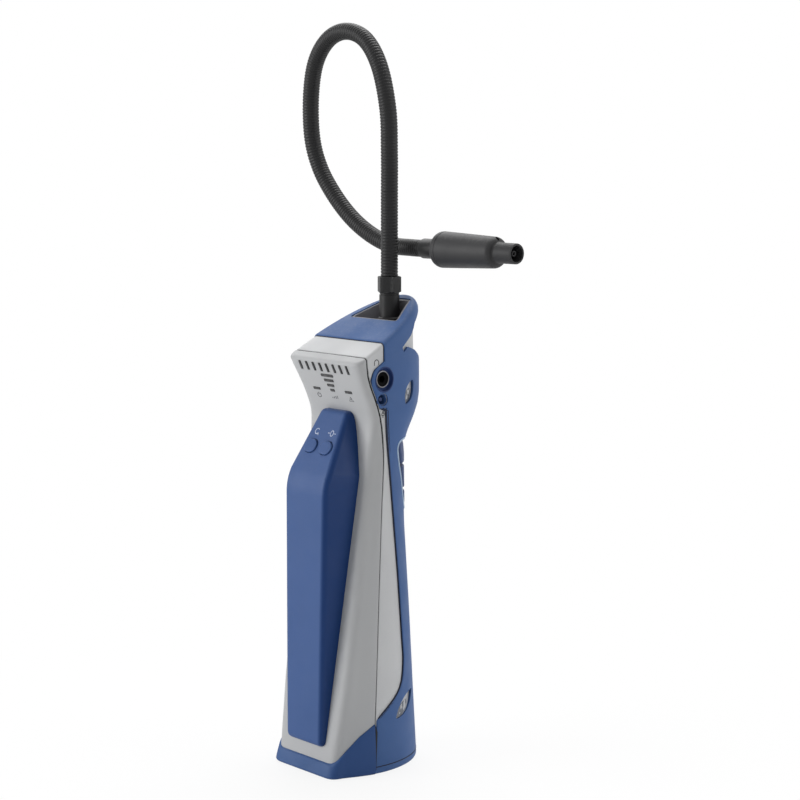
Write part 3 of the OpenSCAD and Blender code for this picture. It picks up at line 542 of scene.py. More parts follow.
class Bench:
    """Makes meshes from millimetre points, cuts them, and gives them finishes and bodies."""

    def __init__(self) -> None:
        """Starts with an empty shelf of effects."""
        self.shelf = EffectShelf()
        self.count = 0

    def mesh(self, name: str, points: np.ndarray, faces: Faces, smooth: float = 35.0) -> Piece:
        """Makes an object from points and faces, closed and with its faces turned outward.

        Args:
            name: Name of the object.
            points: Points in millimetres, one per row.
            faces: Point numbers of each face.
            smooth: Edges that fold by fewer degrees are shaded smooth.

        Returns:
            The object, linked to the scene.
        """
        data = bpy.data.meshes.new(name)
        data.from_pydata((np.asarray(points, float) * MM).tolist(), [], faces)
        obj = bpy.data.objects.new(name, data)
        bpy.context.scene.collection.objects.link(obj)
        self._clean(data, smooth)
        return obj

    @staticmethod
    def _clean(data: bpy.types.Mesh, smooth: float) -> None:
        """Welds doubled points, drops empty faces, turns faces outward and marks sharp edges.

        Args:
            data: The mesh.
            smooth: Edges that fold by fewer degrees are shaded smooth.
        """
        bm = bmesh.new()
        bm.from_mesh(data)
        bmesh.ops.remove_doubles(bm, verts=bm.verts, dist=2e-7)
        bmesh.ops.dissolve_degenerate(bm, edges=bm.edges, dist=1e-7)
        bmesh.ops.recalc_face_normals(bm, faces=bm.faces)
        limit = math.radians(smooth)
        for f in bm.faces:
            f.smooth = True
        for e in bm.edges:
            e.smooth = len(e.link_faces) == 2 and e.calc_face_angle(0.0) < limit
        bm.to_mesh(data)
        bm.free()

    @staticmethod
    def _bake(obj: Piece) -> None:
        """Applies a piece's modifiers to its mesh.

        Args:
            obj: The piece.
        """
        bpy.context.view_layer.update()
        graph = bpy.context.evaluated_depsgraph_get()
        made = bpy.data.meshes.new_from_object(obj.evaluated_get(graph))
        obj.modifiers.clear()
        old, obj.data = obj.data, made
        bpy.data.meshes.remove(old)

    def cut(self, obj: Piece, tools: Sequence[Piece], smooth: float = 35.0) -> None:
        """Cuts a piece with tools, one after the other, and deletes the tools.

        Args:
            obj: The piece to cut.
            tools: The cutting objects.
            smooth: Shading limit in degrees.
        """
        for tool in tools:
            step = obj.modifiers.new("cut", "BOOLEAN")
            step.operation = "DIFFERENCE"
            step.solver = "EXACT"
            step.object = tool
        self._bake(obj)
        for tool in tools:
            data = tool.data
            bpy.data.objects.remove(tool)
            bpy.data.meshes.remove(data)
        self._clean(obj.data, smooth)

    def even_normals(self, obj: Piece) -> None:
        """Weights shading by face size, so that flats next to roundings stay flat.

        Args:
            obj: The piece.
        """
        step = obj.modifiers.new("even_shading", "WEIGHTED_NORMAL")
        step.keep_sharp = True
        self._bake(obj)

    def dress(
        self, obj: Piece, finish: Finish, replaces: Sequence[str] = (), body: Body | None = Body.HOUSING
    ) -> None:
        """Gives a piece its finish, parents it to the empty of the body that it rides on and hides the CAD nodes that
        it stands for.

        Args:
            obj: The piece.
            finish: Its finish.
            replaces: CAD nodes that it stands for.
            body: Body that it rides on, or None to leave it unparented.
        """
        obj.data.materials.clear()
        obj.data.materials.append(finish.make(self.shelf))
        if body is not None:
            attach(obj, body.value)
        if replaces:
            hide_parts(*replaces)
        self.count += 1
        LOG.info("%s: %d faces, finish %s", obj.name, len(obj.data.polygons), finish.name)

    def dress_node(self, node: str, finish: Finish) -> None:
        """Gives a CAD node that stays a procedural finish.

        Args:
            node: Name of the CAD node.
            finish: Its finish.
        """
        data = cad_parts[node].data
        mat = finish.make(self.shelf)
        if len(data.materials) == 0:
            data.materials.append(mat)
        for i in range(len(data.materials)):
            data.materials[i] = mat
        LOG.info("%s: CAD shape kept, finish %s", node, finish.name)

    def loops(self, name: str, rows: Sequence[np.ndarray], around: bool = False, smooth: float = 35.0) -> Piece:
        """Skins closed loops of equal point counts.

        Args:
            name: Name of the object.
            rows: The loops, each with one point per row.
            around: Whether the last loop joins the first one. If not, both are filled.
            smooth: Shading limit in degrees.

        Returns:
            The object.
        """
        m, n = len(rows), len(rows[0])
        faces = skin_faces(m, n, around)
        if not around:
            faces += [tuple(range(n - 1, -1, -1)), tuple(range((m - 1) * n, m * n))]
        return self.mesh(name, np.vstack(rows), faces, smooth)

    def turned(
        self, name: str, profile: Sequence[tuple[float, float]], origin: Sequence[float], axis: Axis, sides: int
    ) -> Piece:
        """Turns a closed profile round an axis.

        Args:
            name: Name of the object.
            profile: Radius and distance along the axis of each point.
            origin: Point on the axis from which distances count.
            axis: X or Z.
            sides: Number of steps round the axis.

        Returns:
            The object.
        """
        turn = full_turn(sides)
        rows = []
        for r, h in profile:
            flat, c, s = np.full(sides, h), r * np.cos(turn), r * np.sin(turn)
            rows.append(np.stack([c, s, flat] if axis is Axis.Z else [flat, c, s], axis=1) + np.asarray(origin, float))
        return self.loops(name, rows, around=True, smooth=32.0)

    def prism(self, name: str, outline: np.ndarray, low: float, high: float, axis: Axis) -> Piece:
        """Makes a straight prism.

        Args:
            name: Name of the object.
            outline: Outline of two columns: y, z across X; x, z across Y; or x, y across Z.
            low: Start along the axis.
            high: End along the axis.
            axis: Direction of the prism.

        Returns:
            The object.
        """
        rows = []
        for h in (low, high):
            flat = np.full(len(outline), h)
            u, v = outline[:, 0], outline[:, 1]
            parts = {Axis.X: (flat, u, v), Axis.Y: (u, flat, v), Axis.Z: (u, v, flat)}[axis]
            rows.append(np.stack(parts, axis=1))
        return self.loops(name, rows)


def lengths(path: np.ndarray) -> np.ndarray:
    """Gives the length along a path at each of its points."""
    return np.concatenate([[0.0], np.cumsum(np.linalg.norm(np.diff(path, axis=0), axis=1))])


def at_lengths(path: np.ndarray, want: np.ndarray) -> np.ndarray:
    """Gives the points of a path at lengths along it."""
    along = lengths(path)
    return np.column_stack([np.interp(want, along, column) for column in path.T])


def evenly(path: np.ndarray, count: int) -> np.ndarray:
    """Gives points at even spacing along a path."""
    return at_lengths(path, np.linspace(0.0, lengths(path)[-1], count))


def mirrored(half: np.ndarray) -> np.ndarray:
    """Joins a right-hand half, which ends in the middle, to its mirror image."""
    return np.vstack([half, half[-2::-1] * [-1, 1, 1]])


def skin_faces(m: int, n: int, around: bool = False) -> Faces:
    """Lists the faces between closed loops.

    Args:
        m: Number of loops.
        n: Points of each loop.
        around: Whether the last loop joins the first one.

    Returns:
        Point numbers of each face.
    """
    faces: Faces = []
    for i in range(m if around else m - 1):
        a, b = i * n, (i + 1) % m * n
        faces += [(a + j, a + (j + 1) % n, b + (j + 1) % n, b + j) for j in range(n)]
    return faces


def full_turn(steps: int) -> np.ndarray:
    """Gives evenly spaced angles of a full turn, without its end."""
    return np.linspace(0.0, 2 * math.pi, steps, endpoint=False)


def ring_at(mid: np.ndarray, radius: float, across: np.ndarray, side: np.ndarray, steps: int) -> np.ndarray:
    """Gives a ring of points round a middle, in the plane of two axes."""
    turn = full_turn(steps)[:, None]
    return mid + radius * (np.cos(turn) * across + np.sin(turn) * side)


def circle_points(centre: Sequence[float], radius: float, sides: int = 48) -> np.ndarray:
    """Gives the points of a circle as two columns."""
    turn = full_turn(sides)
    return np.stack([centre[0] + radius * np.cos(turn), centre[1] + radius * np.sin(turn)], axis=1)


def rounded_polygon(corners: Sequence[Sequence[float]], radius: float, steps: int = 8) -> np.ndarray:
    """Rounds the corners of a polygon.

    Args:
        corners: The polygon's corners.
        radius: Radius of the rounding.
        steps: Steps of each rounding.

    Returns:
        The outline's points as two columns.
    """
    pts = np.asarray(corners, float)
    out = []
    for i in range(len(pts)):
        p, c, q = pts[i - 1], pts[i], pts[(i + 1) % len(pts)]
        a, b = (p - c) / np.linalg.norm(p - c), (q - c) / np.linalg.norm(q - c)
        half = math.acos(float(np.clip(np.dot(a, b), -1, 1))) / 2
        reach = min(radius / math.tan(half), 0.49 * np.linalg.norm(p - c), 0.49 * np.linalg.norm(q - c))
        for t in np.linspace(0.0, 1.0, steps + 1):
            out.append((1 - t) ** 2 * (c + a * reach) + 2 * t * (1 - t) * c + t**2 * (c + b * reach))
    return np.asarray(out)


def oblong_points(length: float, width: float, steps: int = 20) -> np.ndarray:
    """Gives an oblong with round ends, long in its first column, as two columns.

    Args:
        length: Whole length.
        width: Width.
        steps: Points of each end.

    Returns:
        The outline.
    """
    half = (length - width) / 2
    right = np.linspace(-math.pi / 2, math.pi / 2, steps)
    pts = [(half + width / 2 * math.cos(a), width / 2 * math.sin(a)) for a in right]
    pts += [(-half - width / 2 * math.cos(a), -width / 2 * math.sin(a)) for a in right]
    return np.asarray(pts)


def lens_points(start: Sequence[float], end: Sequence[float], width: float, steps: int = 20) -> np.ndarray:
    """Gives a pointed lens outline between two points.

    Args:
        start: First point.
        end: Second point.
        width: Width at the middle.
        steps: Steps of each side.

    Returns:
        The outline as two columns.
    """
    a, b = np.asarray(start, float), np.asarray(end, float)
    along = b - a
    length = np.linalg.norm(along)
    u = along / length
    v = np.array([-u[1], u[0]])
    r = (length**2 / 4 + width**2 / 4) / width
    side = []
    for t in np.linspace(-length / 2, length / 2, steps + 1):
        side.append((t, math.sqrt(max(r * r - t * t, 0.0)) - (r - width / 2)))
    mid = (a + b) / 2
    upper = [mid + u * t + v * h for t, h in side]
    lower = [mid + u * t - v * h for t, h in reversed(side[1:-1])]
    return np.asarray(upper + lower)


@dataclass
class SubAssembly:
    """A group of pieces that are made on one bench."""

    bench: Bench

    def build(self) -> None:
        """Makes the pieces."""
        raise NotImplementedError


# ---------------- housing form


@dataclass(frozen=True)
class HousingForm:
    """The housing's skin: plan rings on planes that lean back towards the top."""

    waist_h: float = 186.0
    crown_h: float = 218.6
    waist_y: float = 8.7
    top_slope: float = 27.5
    face_tilt: float = 26.0
    front_lean: float = 8.3
    waist_set: float = 1.6
    waist_soft: float = 1.6
    lean_h: float = 150.0
    corner_r: float = 5.0
    crown_r: float = 1.8
    foot_r: float = 1.5
    ring_points: int = 130
    ease: float = 1.3
    blur: float = 6.0
    rear_blur: float = 4.0
    corner_half: Table = (
        (0, 23), (46, 25.9), (100, 26.3), (164, 25.3), (183, 26.5), (198, 26.5), (215.6, 28.5)
    )
    beam_half: Table = (
        (0, 30.2), (46, 29.6), (94, 28.5), (140, 27.7), (172, 26.8), (195, 27.1), (218.6, 27.8)
    )
    beam_line: Table = (
        (0, -4), (94, -5), (160, -5), (183, -1.6), (198, -6), (218.6, -15.6)
    )
    back_line: Table = (
        (0, 33), (40, 29.5), (85, 26.5), (128, 23), (165, 23), (178, 34.5), (218.6, 35.5)
    )
    cover_line: Table = (
        (0, 34.6), (40, 31.6), (85, 28.7), (128, 25), (166, 24.9), (179, 37.9), (198, 38.5), (215.5, 39.5),
        (218.6, 35.6),
    )
    seam_line: Table = (
        (0, -12.2), (46, -10), (94, -7.4), (140, -4.8), (160, -3), (173, -3.2), (183, -4.4), (194, -8.4),
        (207.6, -14.2), (218.6, -15.8),
    )

    @staticmethod
    def soft(s: float, table: Table, width: float) -> float:
        """Reads a table softly, over a width to either side.

        Args:
            s: Station.
            table: Stations and their values.
            width: Distance to either side.

        Returns:
            The softened value.
        """
        xs, ys = [p[0] for p in table], [p[1] for p in table]
        low, mid, high = np.interp([s - width, s, s + width], xs, ys)
        return float(low + 2 * mid + high) / 4

    def lean(self, s: float) -> float:
        """Gives the slope of the plane at station s."""
        part = min(max((s - self.lean_h) / (self.crown_h - self.lean_h), 0.0), 1.0)
        return math.tan(math.radians(self.top_slope)) * part

    def height(self, s: float, y: float) -> float:
        """Gives the height of the plane at station s above depth y."""
        return s + self.lean(s) * (y + self.waist_y)

    def station(self, y: float, z: float) -> float:
        """Gives the station whose plane passes through depth y and height z.

        Args:
            y: Depth.
            z: Height.

        Returns:
            The station.
        """
        s = z
        for _ in range(12):
            s = z - self.lean(s) * (y + self.waist_y)
        return s

    def front_y(self, s: float) -> float:
        """Gives the depth of the front at station s.

        Args:
            s: Station.

        Returns:
            The depth.
        """
        lean = self.lean(s)
        tilt, low = math.tan(math.radians(self.face_tilt)), math.tan(math.radians(self.front_lean))
        a = -tilt * (s - self.waist_h) / (1 + tilt * lean)
        b = (self.waist_set - low * (self.waist_h - s)) / (1 - low * lean)
        return (a + b) / 2 - math.hypot((a - b) / 2, self.waist_soft) - self.waist_y

    @staticmethod
    def seam_gap(s: float) -> float:
        """Gives half the width of the shut line at station s."""
        return float(np.interp(s, [140.0, 172.0], [0.22, 0.42]))

    def seam_y(self, s: float) -> float:
        """Gives the depth of the shut line between the shells at station s."""
        return self.soft(s, self.seam_line, self.blur)

    def beam(self, s: float) -> tuple[float, float]:
        """Gives the half width and the depth of the widest place at station s."""
        return self.soft(s, self.beam_half, self.blur), self.soft(s, self.beam_line, self.blur)

    def half_ring(self, s: float, grow: float, rear: Table) -> tuple[np.ndarray, int]:
        """Gives the right half of a ring from the front's middle to the rear's middle.

        Args:
            s: Station.
            grow: Outward growth.
            rear: Table of the rear line.

        Returns:
            Points x, y, and the number of the point where the front's corner starts.
        """
        yf = self.front_y(s) - grow
        wc = self.soft(s, self.corner_half, self.blur) + grow
        wb, yb = self.beam(s)
        wb += grow
        yr = self.soft(s, rear, self.rear_blur) + grow
        r = max(self.corner_r + grow, 0.05)
        flat = np.linspace(0.0, wc - r, 12)[:-1]
        t = np.linspace(0.0, 1.0, 14)
        k = np.linspace(0.0, 1.0, 18)[1:]
        a = np.linspace(0.0, math.pi / 2, 48)[1:]
        x = np.concatenate(
            [flat, wc - r + r * (2 * t - t * t), wc + (wb - wc) * np.sin(k * math.pi / 2), wb * np.cos(a)]
        )
        y = np.concatenate(
            [np.full(len(flat), yf), yf + r * t * t, yf + r + (yb - yf - r) * k, yb + (yr - yb) * np.sin(a)]
        )
        return self._eased(np.stack([x, y], axis=1))

    def _eased(self, raw: np.ndarray) -> tuple[np.ndarray, int]:
        """Spaces a half ring evenly and eases its turns.

        Args:
            raw: Points x, y from the front's middle to the rear's middle.

        Returns:
            The eased points, and the number of the point where the front's corner starts.
        """
        even = evenly(raw, self.ring_points)
        step = lengths(raw)[-1] / (self.ring_points - 1)
        reach = int(3 * self.ease / step) + 1
        weight = np.exp(-0.5 * (np.arange(-reach, reach + 1) * step / self.ease) ** 2)
        flip = np.array([-1.0, 1.0])
        wide = np.vstack([even[reach:0:-1] * flip, even, even[-2 : -2 - reach : -1] * flip])
        out = np.column_stack([np.convolve(wide[:, k], weight / weight.sum(), "valid") for k in (0, 1)])
        out[[0, -1], 0] = 0.0
        first = int(np.argmax(out[:, 1] > out[0, 1] + 1e-4)) - 1
        return out, max(first, 0)

    def across(self, s: float, grow: float, rear: Table, y: float) -> float:
        """Gives the half width of a ring at depth y, behind the front's corner."""
        pts, first = self.half_ring(s, grow, rear)
        return float(np.interp(y, pts[first:, 1], pts[first:, 0]))

    def side_point(self, y: float, z: float, grow: float) -> np.ndarray:
        """Gives the point of the right-hand side at depth y and height z, grown outward."""
        s = self.station(y, z)
        return np.array([self.across(s, grow, self.cover_line if grow > 0.3 else self.back_line, y), y, z])

    def front_point(self, x: float, z: float, grow: float) -> np.ndarray:
        """Gives the point of the front at x and height z, grown outward.

        Args:
            x: Place across.
            z: Height.
            grow: Outward growth.

        Returns:
            Point x, y, z.
        """
        y = self.front_y(z)
        for _ in range(12):
            y = self.front_y(self.station(y, z))
        return np.array([x, y - grow, z])

    def foot_row(self, angle: float, g: float) -> tuple[float, float]:
        """Gives station and growth on the rounding of the foot at an angle, for a skin grown by g."""
        r = max(self.foot_r + g, 0.01)
        return r - g - r * math.cos(angle), g - r + r * math.sin(angle)

    def crown_row(self, angle: float, g: float) -> tuple[float, float]:
        """Gives station and growth on the rounding of the crown at an angle, for a skin grown by g."""
        r = max(self.crown_r + g, 0.01)
        return self.crown_h + g - r + r * math.sin(angle), g - r + r * math.cos(angle)

    def solid(self, bench: Bench, name: str, grow: float) -> Piece:
        """Makes the whole form as one solid, for cutting.

        Args:
            bench: Makes the mesh.
            name: Name of the object.
            grow: Outward growth.

        Returns:
            The solid.
        """
        turns = np.linspace(0.0, math.pi / 2, 5)
        rows = [self.foot_row(a, grow) for a in turns]
        rows += [(s, grow) for s in np.concatenate([np.arange(4.0, 150.0, 4.0), np.arange(150.0, 215.5, 1.5)])]
        rows += [self.crown_row(a, grow) for a in turns]
        out = []
        for s, g in rows:
            half, _ = self.half_ring(s, g, self.back_line)
            ring = np.vstack([half, half[-2:0:-1] * [-1, 1]])
            out.append(np.column_stack([ring, [self.height(s, y) for y in ring[:, 1]]]))
        return bench.loops(name, out)


@dataclass(frozen=True)
class ShellPlan:
    """What a shell of the housing covers: its border, thickness, levels and foot."""

    stretch: Stretch
    border: Callable[[float], float]
    outer: float
    inner: float
    rear: Table
    fillet: float
    levels: np.ndarray
    foot: Foot
    columns: int = 44
    fillet_steps: int = 4


@dataclass
class ShellMaker:
    """Makes closed shells that follow the housing's form from a border to the middle."""

    bench: Bench
    form: HousingForm
    crown_steps: int = 7
    pole_steps: tuple[float, ...] = (0.7, 0.4, 0.0)

    def _rows(self, plan: ShellPlan, g: float) -> list[tuple[float, float]]:
        """Lists station and growth of each row of a skin grown by g.

        Args:
            plan: What the shell covers.
            g: Outward growth.

        Returns:
            Station and growth of each row.
        """
        turns = np.linspace(0.0, math.pi / 2, self.crown_steps)
        rows = [self.form.foot_row(a, g) for a in turns] if plan.foot is Foot.FLOOR else []
        rows += [(float(s), g) for s in plan.levels]
        return rows + [self.form.crown_row(a, g) for a in turns]

    def _run(
        self, plan: ShellPlan, s: float, g: float, rear: Table, inset: float, count: int
    ) -> np.ndarray:
        """Gives points of a ring from the border to the middle, evenly spaced.

        Args:
            plan: What the shell covers.
            s: Station.
            g: Growth.
            rear: Table of the rear line.
            inset: Distance of the first point from the border.
            count: Number of points.

        Returns:
            Points x, y, z.
        """
        ring, first = self.form.half_ring(s, g, rear)
        y0 = plan.border(s) + plan.stretch.value * inset
        y0 = min(max(y0, ring[first, 1] + 1e-3), ring[-1, 1] - 1e-3)
        x0 = float(np.interp(y0, ring[first:, 1], ring[first:, 0]))
        behind = (ring[:, 1] > y0 + 1e-6) if plan.stretch is Stretch.REAR else (ring[:, 1] < y0 - 1e-6)
        keep = ring[behind] if plan.stretch is Stretch.REAR else ring[behind][::-1]
        path = np.vstack([[x0, y0], keep])
        even = evenly(path, count)
        even[-1, 0] = 0.0
        return np.column_stack([even, [self.form.height(s, y) for y in even[:, 1]]])

    def build(self, name: str, plan: ShellPlan) -> Piece:
        """Makes a shell.

        Args:
            name: Name of the object.
            plan: What the shell covers.

        Returns:
            The closed shell.
        """
        turns = np.linspace(math.pi / 2, 0.0, plan.fillet_steps + 1)[:-1]
        skins = []
        for a in turns:
            g = plan.outer - plan.fillet * (1 - math.cos(a))
            inset = plan.fillet * (1 - math.sin(a))
            skins.append([self._run(plan, s, w, plan.rear, inset, 2)[0] for s, w in self._rows(plan, g)])
        main = [
            self._run(plan, s, w, plan.rear, plan.fillet, plan.columns) for s, w in self._rows(plan, plan.outer)
        ]
        count = plan.columns + len(turns)
        back = [self._run(plan, s, w, self.form.back_line, 0.0, count) for s, w in self._rows(plan, plan.inner)]
        rows = []
        for i in range(len(main)):
            right = np.vstack([[skin[i] for skin in skins], main[i]])
            rows.append(np.vstack([mirrored(right), mirrored(back[i])[::-1]]))
        width = len(rows[0]) // 2
        rows = rows + self._pole(rows[-1], math.tan(math.radians(self.form.top_slope)))
        if plan.foot is Foot.FLOOR:
            rows = self._pole(rows[0], 0.0)[::-1] + rows
        n = 2 * width
        faces = skin_faces(len(rows), n)
        if plan.foot is Foot.RIM:
            faces += [(j, n - 1 - j, n - 2 - j, j + 1) for j in range(width - 1)]
        return self.bench.mesh(name, np.vstack(rows), faces, 40.0)

    def _pole(self, row: np.ndarray, slope: float) -> list[np.ndarray]:
        """Draws a row together on its plane, to close the top or the floor.

        Args:
            row: The row.
            slope: Slope of its plane.

        Returns:
            Smaller and smaller rows.
        """
        y0 = row[0, 1]
        out = []
        for k in self.pole_steps:
            near = row.copy()
            near[:, 0] = row[:, 0] * k
            near[:, 1] = y0 + (row[:, 1] - y0) * k
            near[:, 2] = row[:, 2] + slope * (near[:, 1] - row[:, 1])
            out.append(near)
        return out


# ---------------- housing pieces


@dataclass
class DisplayPlan:
    """Places of the lights on the display face, as the CAD model has them."""

    bar_count: int = 8
    bar_pitch: float = 5.2
    bar: tuple[float, float] = (1.1, 4.8)
    bar_up: float = 24.9
    level_count: int = 4
    level: tuple[float, float] = (8.8, 1.3)
    level_up: float = 20.1
    level_pitch: float = 2.9
    status: tuple[float, float] = (5.0, 1.3)
    status_x: float = 12.4
    slot_gap: float = 0.08
    slot_cut: tuple[float, float] = (-7.0, 6.0)

    def slots(self) -> list[tuple[float, float, float, float]]:
        """Lists middle and size of each slot: x, up, width and height.

        Returns:
            The slots, in the order of the lights.
        """
        out = [
            ((i - (self.bar_count - 1) / 2) * self.bar_pitch, self.bar_up, *self.bar) for i in range(self.bar_count)
        ]
        for i in range(self.level_count):
            out.append((0.0, self.level_up - i * self.level_pitch, self.level[0] * (1 - 0.22 * i), self.level[1]))
        low = self.level_up - (self.level_count - 1) * self.level_pitch
        out += [(side * self.status_x, low, *self.status) for side in (-1, 1)]
        return out


@dataclass
class FrontShell(SubAssembly):
    """Grey front moulding with the display face and the slots for the lights."""

    form: HousingForm
    display: DisplayPlan
    wall: float = 2.2
    fillet: float = 0.3

    def on_face(self, x: float, up: float, out: float) -> np.ndarray:
        """Gives a point of the display face from x, distance up the face and distance outward."""
        c, s = math.cos(math.radians(self.form.face_tilt)), math.sin(math.radians(self.form.face_tilt))
        return np.array([x, -self.form.waist_y - up * s - out * c, self.form.waist_h + up * c - out * s])

    def build(self) -> None:
        """Makes the front shell and cuts its slots."""
        levels = np.concatenate([np.arange(4.0, 150.0, 3.0), np.arange(150.0, 216.0, 1.0)])
        plan = ShellPlan(
            Stretch.FRONT, lambda s: self.form.seam_y(s) - self.form.seam_gap(s), 0.0, -self.wall, self.form.back_line,
            self.fillet, levels, Foot.FLOOR, columns=40,
        )
        shell = ShellMaker(self.bench, self.form).build("front_shell_skin", plan)
        points, faces = [], []
        for x, up, w, h in self.display.slots():
            a, b = w / 2 + self.display.slot_gap, h / 2 + self.display.slot_gap
            base = len(points)
            for out in self.display.slot_cut:
                for u, v in ((-a, -b), (a, -b), (a, b), (-a, b)):
                    points.append(self.on_face(x + u, up + v, out))
            for q in ((3, 2, 1, 0), (4, 5, 6, 7), (0, 1, 5, 4), (1, 2, 6, 5), (2, 3, 7, 6), (3, 0, 4, 7)):
                faces.append(tuple(base + i for i in q))
        tool = self.bench.mesh("slot_tool", np.asarray(points), faces)
        self.bench.cut(shell, [tool], smooth=40.0)
        self.bench.dress(shell, SHELL_GREY, ["front_shell"])


@dataclass
class WellPlan:
    """Outline of the recess in the top that the neck stands in."""

    front: float = 13.4
    rear: float = 32.4
    front_w: float = 37.6
    rear_w: float = 17.0
    radius: float = 2.0
    floor_z: float = 227.3
    cut_deep: float = 14.0
    cover_cut: float = 200.0

    def outline(self, grow: float) -> np.ndarray:
        """Gives the outline grown outward, as x and y."""
        a, b, low, high = self.front_w / 2 + grow, self.rear_w / 2 + grow, self.front - grow, self.rear + grow
        return rounded_polygon([(-a, low), (a, low), (b, high), (-b, high)], self.radius)


@dataclass
class SocketPlan:
    """Places of the two sockets on the right-hand side."""

    phone_y: float = -3.2
    phone_z: float = 203.2
    charge_y: float = -4.2
    charge_z: float = 193.0
    pocket_r: float = 6.6
    pocket_x: float = 25.5
    skin: float = 0.7
    ring_r: float = 4.4
    charge_r: float = 3.1
    cut_x: float = 15.0


@dataclass
class RearShell(SubAssembly):
    """Grey rear moulding, seen beside the covering, in its windows and under the finger ribs."""

    form: HousingForm
    well: WellPlan
    sockets: SocketPlan
    wall: float = 2.2
    rim: float = 3.8
    fillet: float = 0.3
    screw_x: float = 12.0
    screw_z: tuple[float, float] = (114.0, 184.0)
    screw_bore: float = 3.1
    bore_y: float = 8.0

    def bores(self) -> list[Piece]:
        """Makes the tools for the four screw bores."""
        return [
            self.bench.prism("bore_tool", circle_points((x, z), self.screw_bore, 32), self.bore_y, CUT_REACH, Axis.Y)
            for x in (-self.screw_x, self.screw_x)
            for z in self.screw_z
        ]

    def build(self) -> None:
        """Makes the rear shell and cuts its bores, its well and the places of the sockets."""
        levels = np.concatenate([np.arange(self.rim, 150.0, 3.0), np.arange(150.0, 216.0, 1.0)])
        plan = ShellPlan(
            Stretch.REAR, lambda s: self.form.seam_y(s) + self.form.seam_gap(s), 0.0, -self.wall, self.form.back_line,
            self.fillet, levels, Foot.RIM,
        )
        shell = ShellMaker(self.bench, self.form).build("rear_shell_skin", plan)
        at = self.sockets
        tools = self.bores()
        well = self.well.outline(CLEARANCE)
        tools.append(self.bench.prism("well_tool", well, self.well.floor_z - self.well.cut_deep, CUT_TOP, Axis.Z))
        pocket = circle_points((at.phone_y, at.phone_z), at.pocket_r + CLEARANCE)
        tools.append(self.bench.prism("pocket_tool", pocket, at.pocket_x - at.skin - CLEARANCE, CUT_REACH, Axis.X))
        charge = circle_points((at.charge_y, at.charge_z), at.charge_r + 0.1)
        tools.append(self.bench.prism("charge_tool", charge, at.cut_x, CUT_REACH, Axis.X))
        self.bench.cut(shell, tools, smooth=40.0)
        # The rear moulding gets the paler grey, painted light.
        self.bench.dress(shell, SHELL_GREY_LIT, ["rear_shell"])


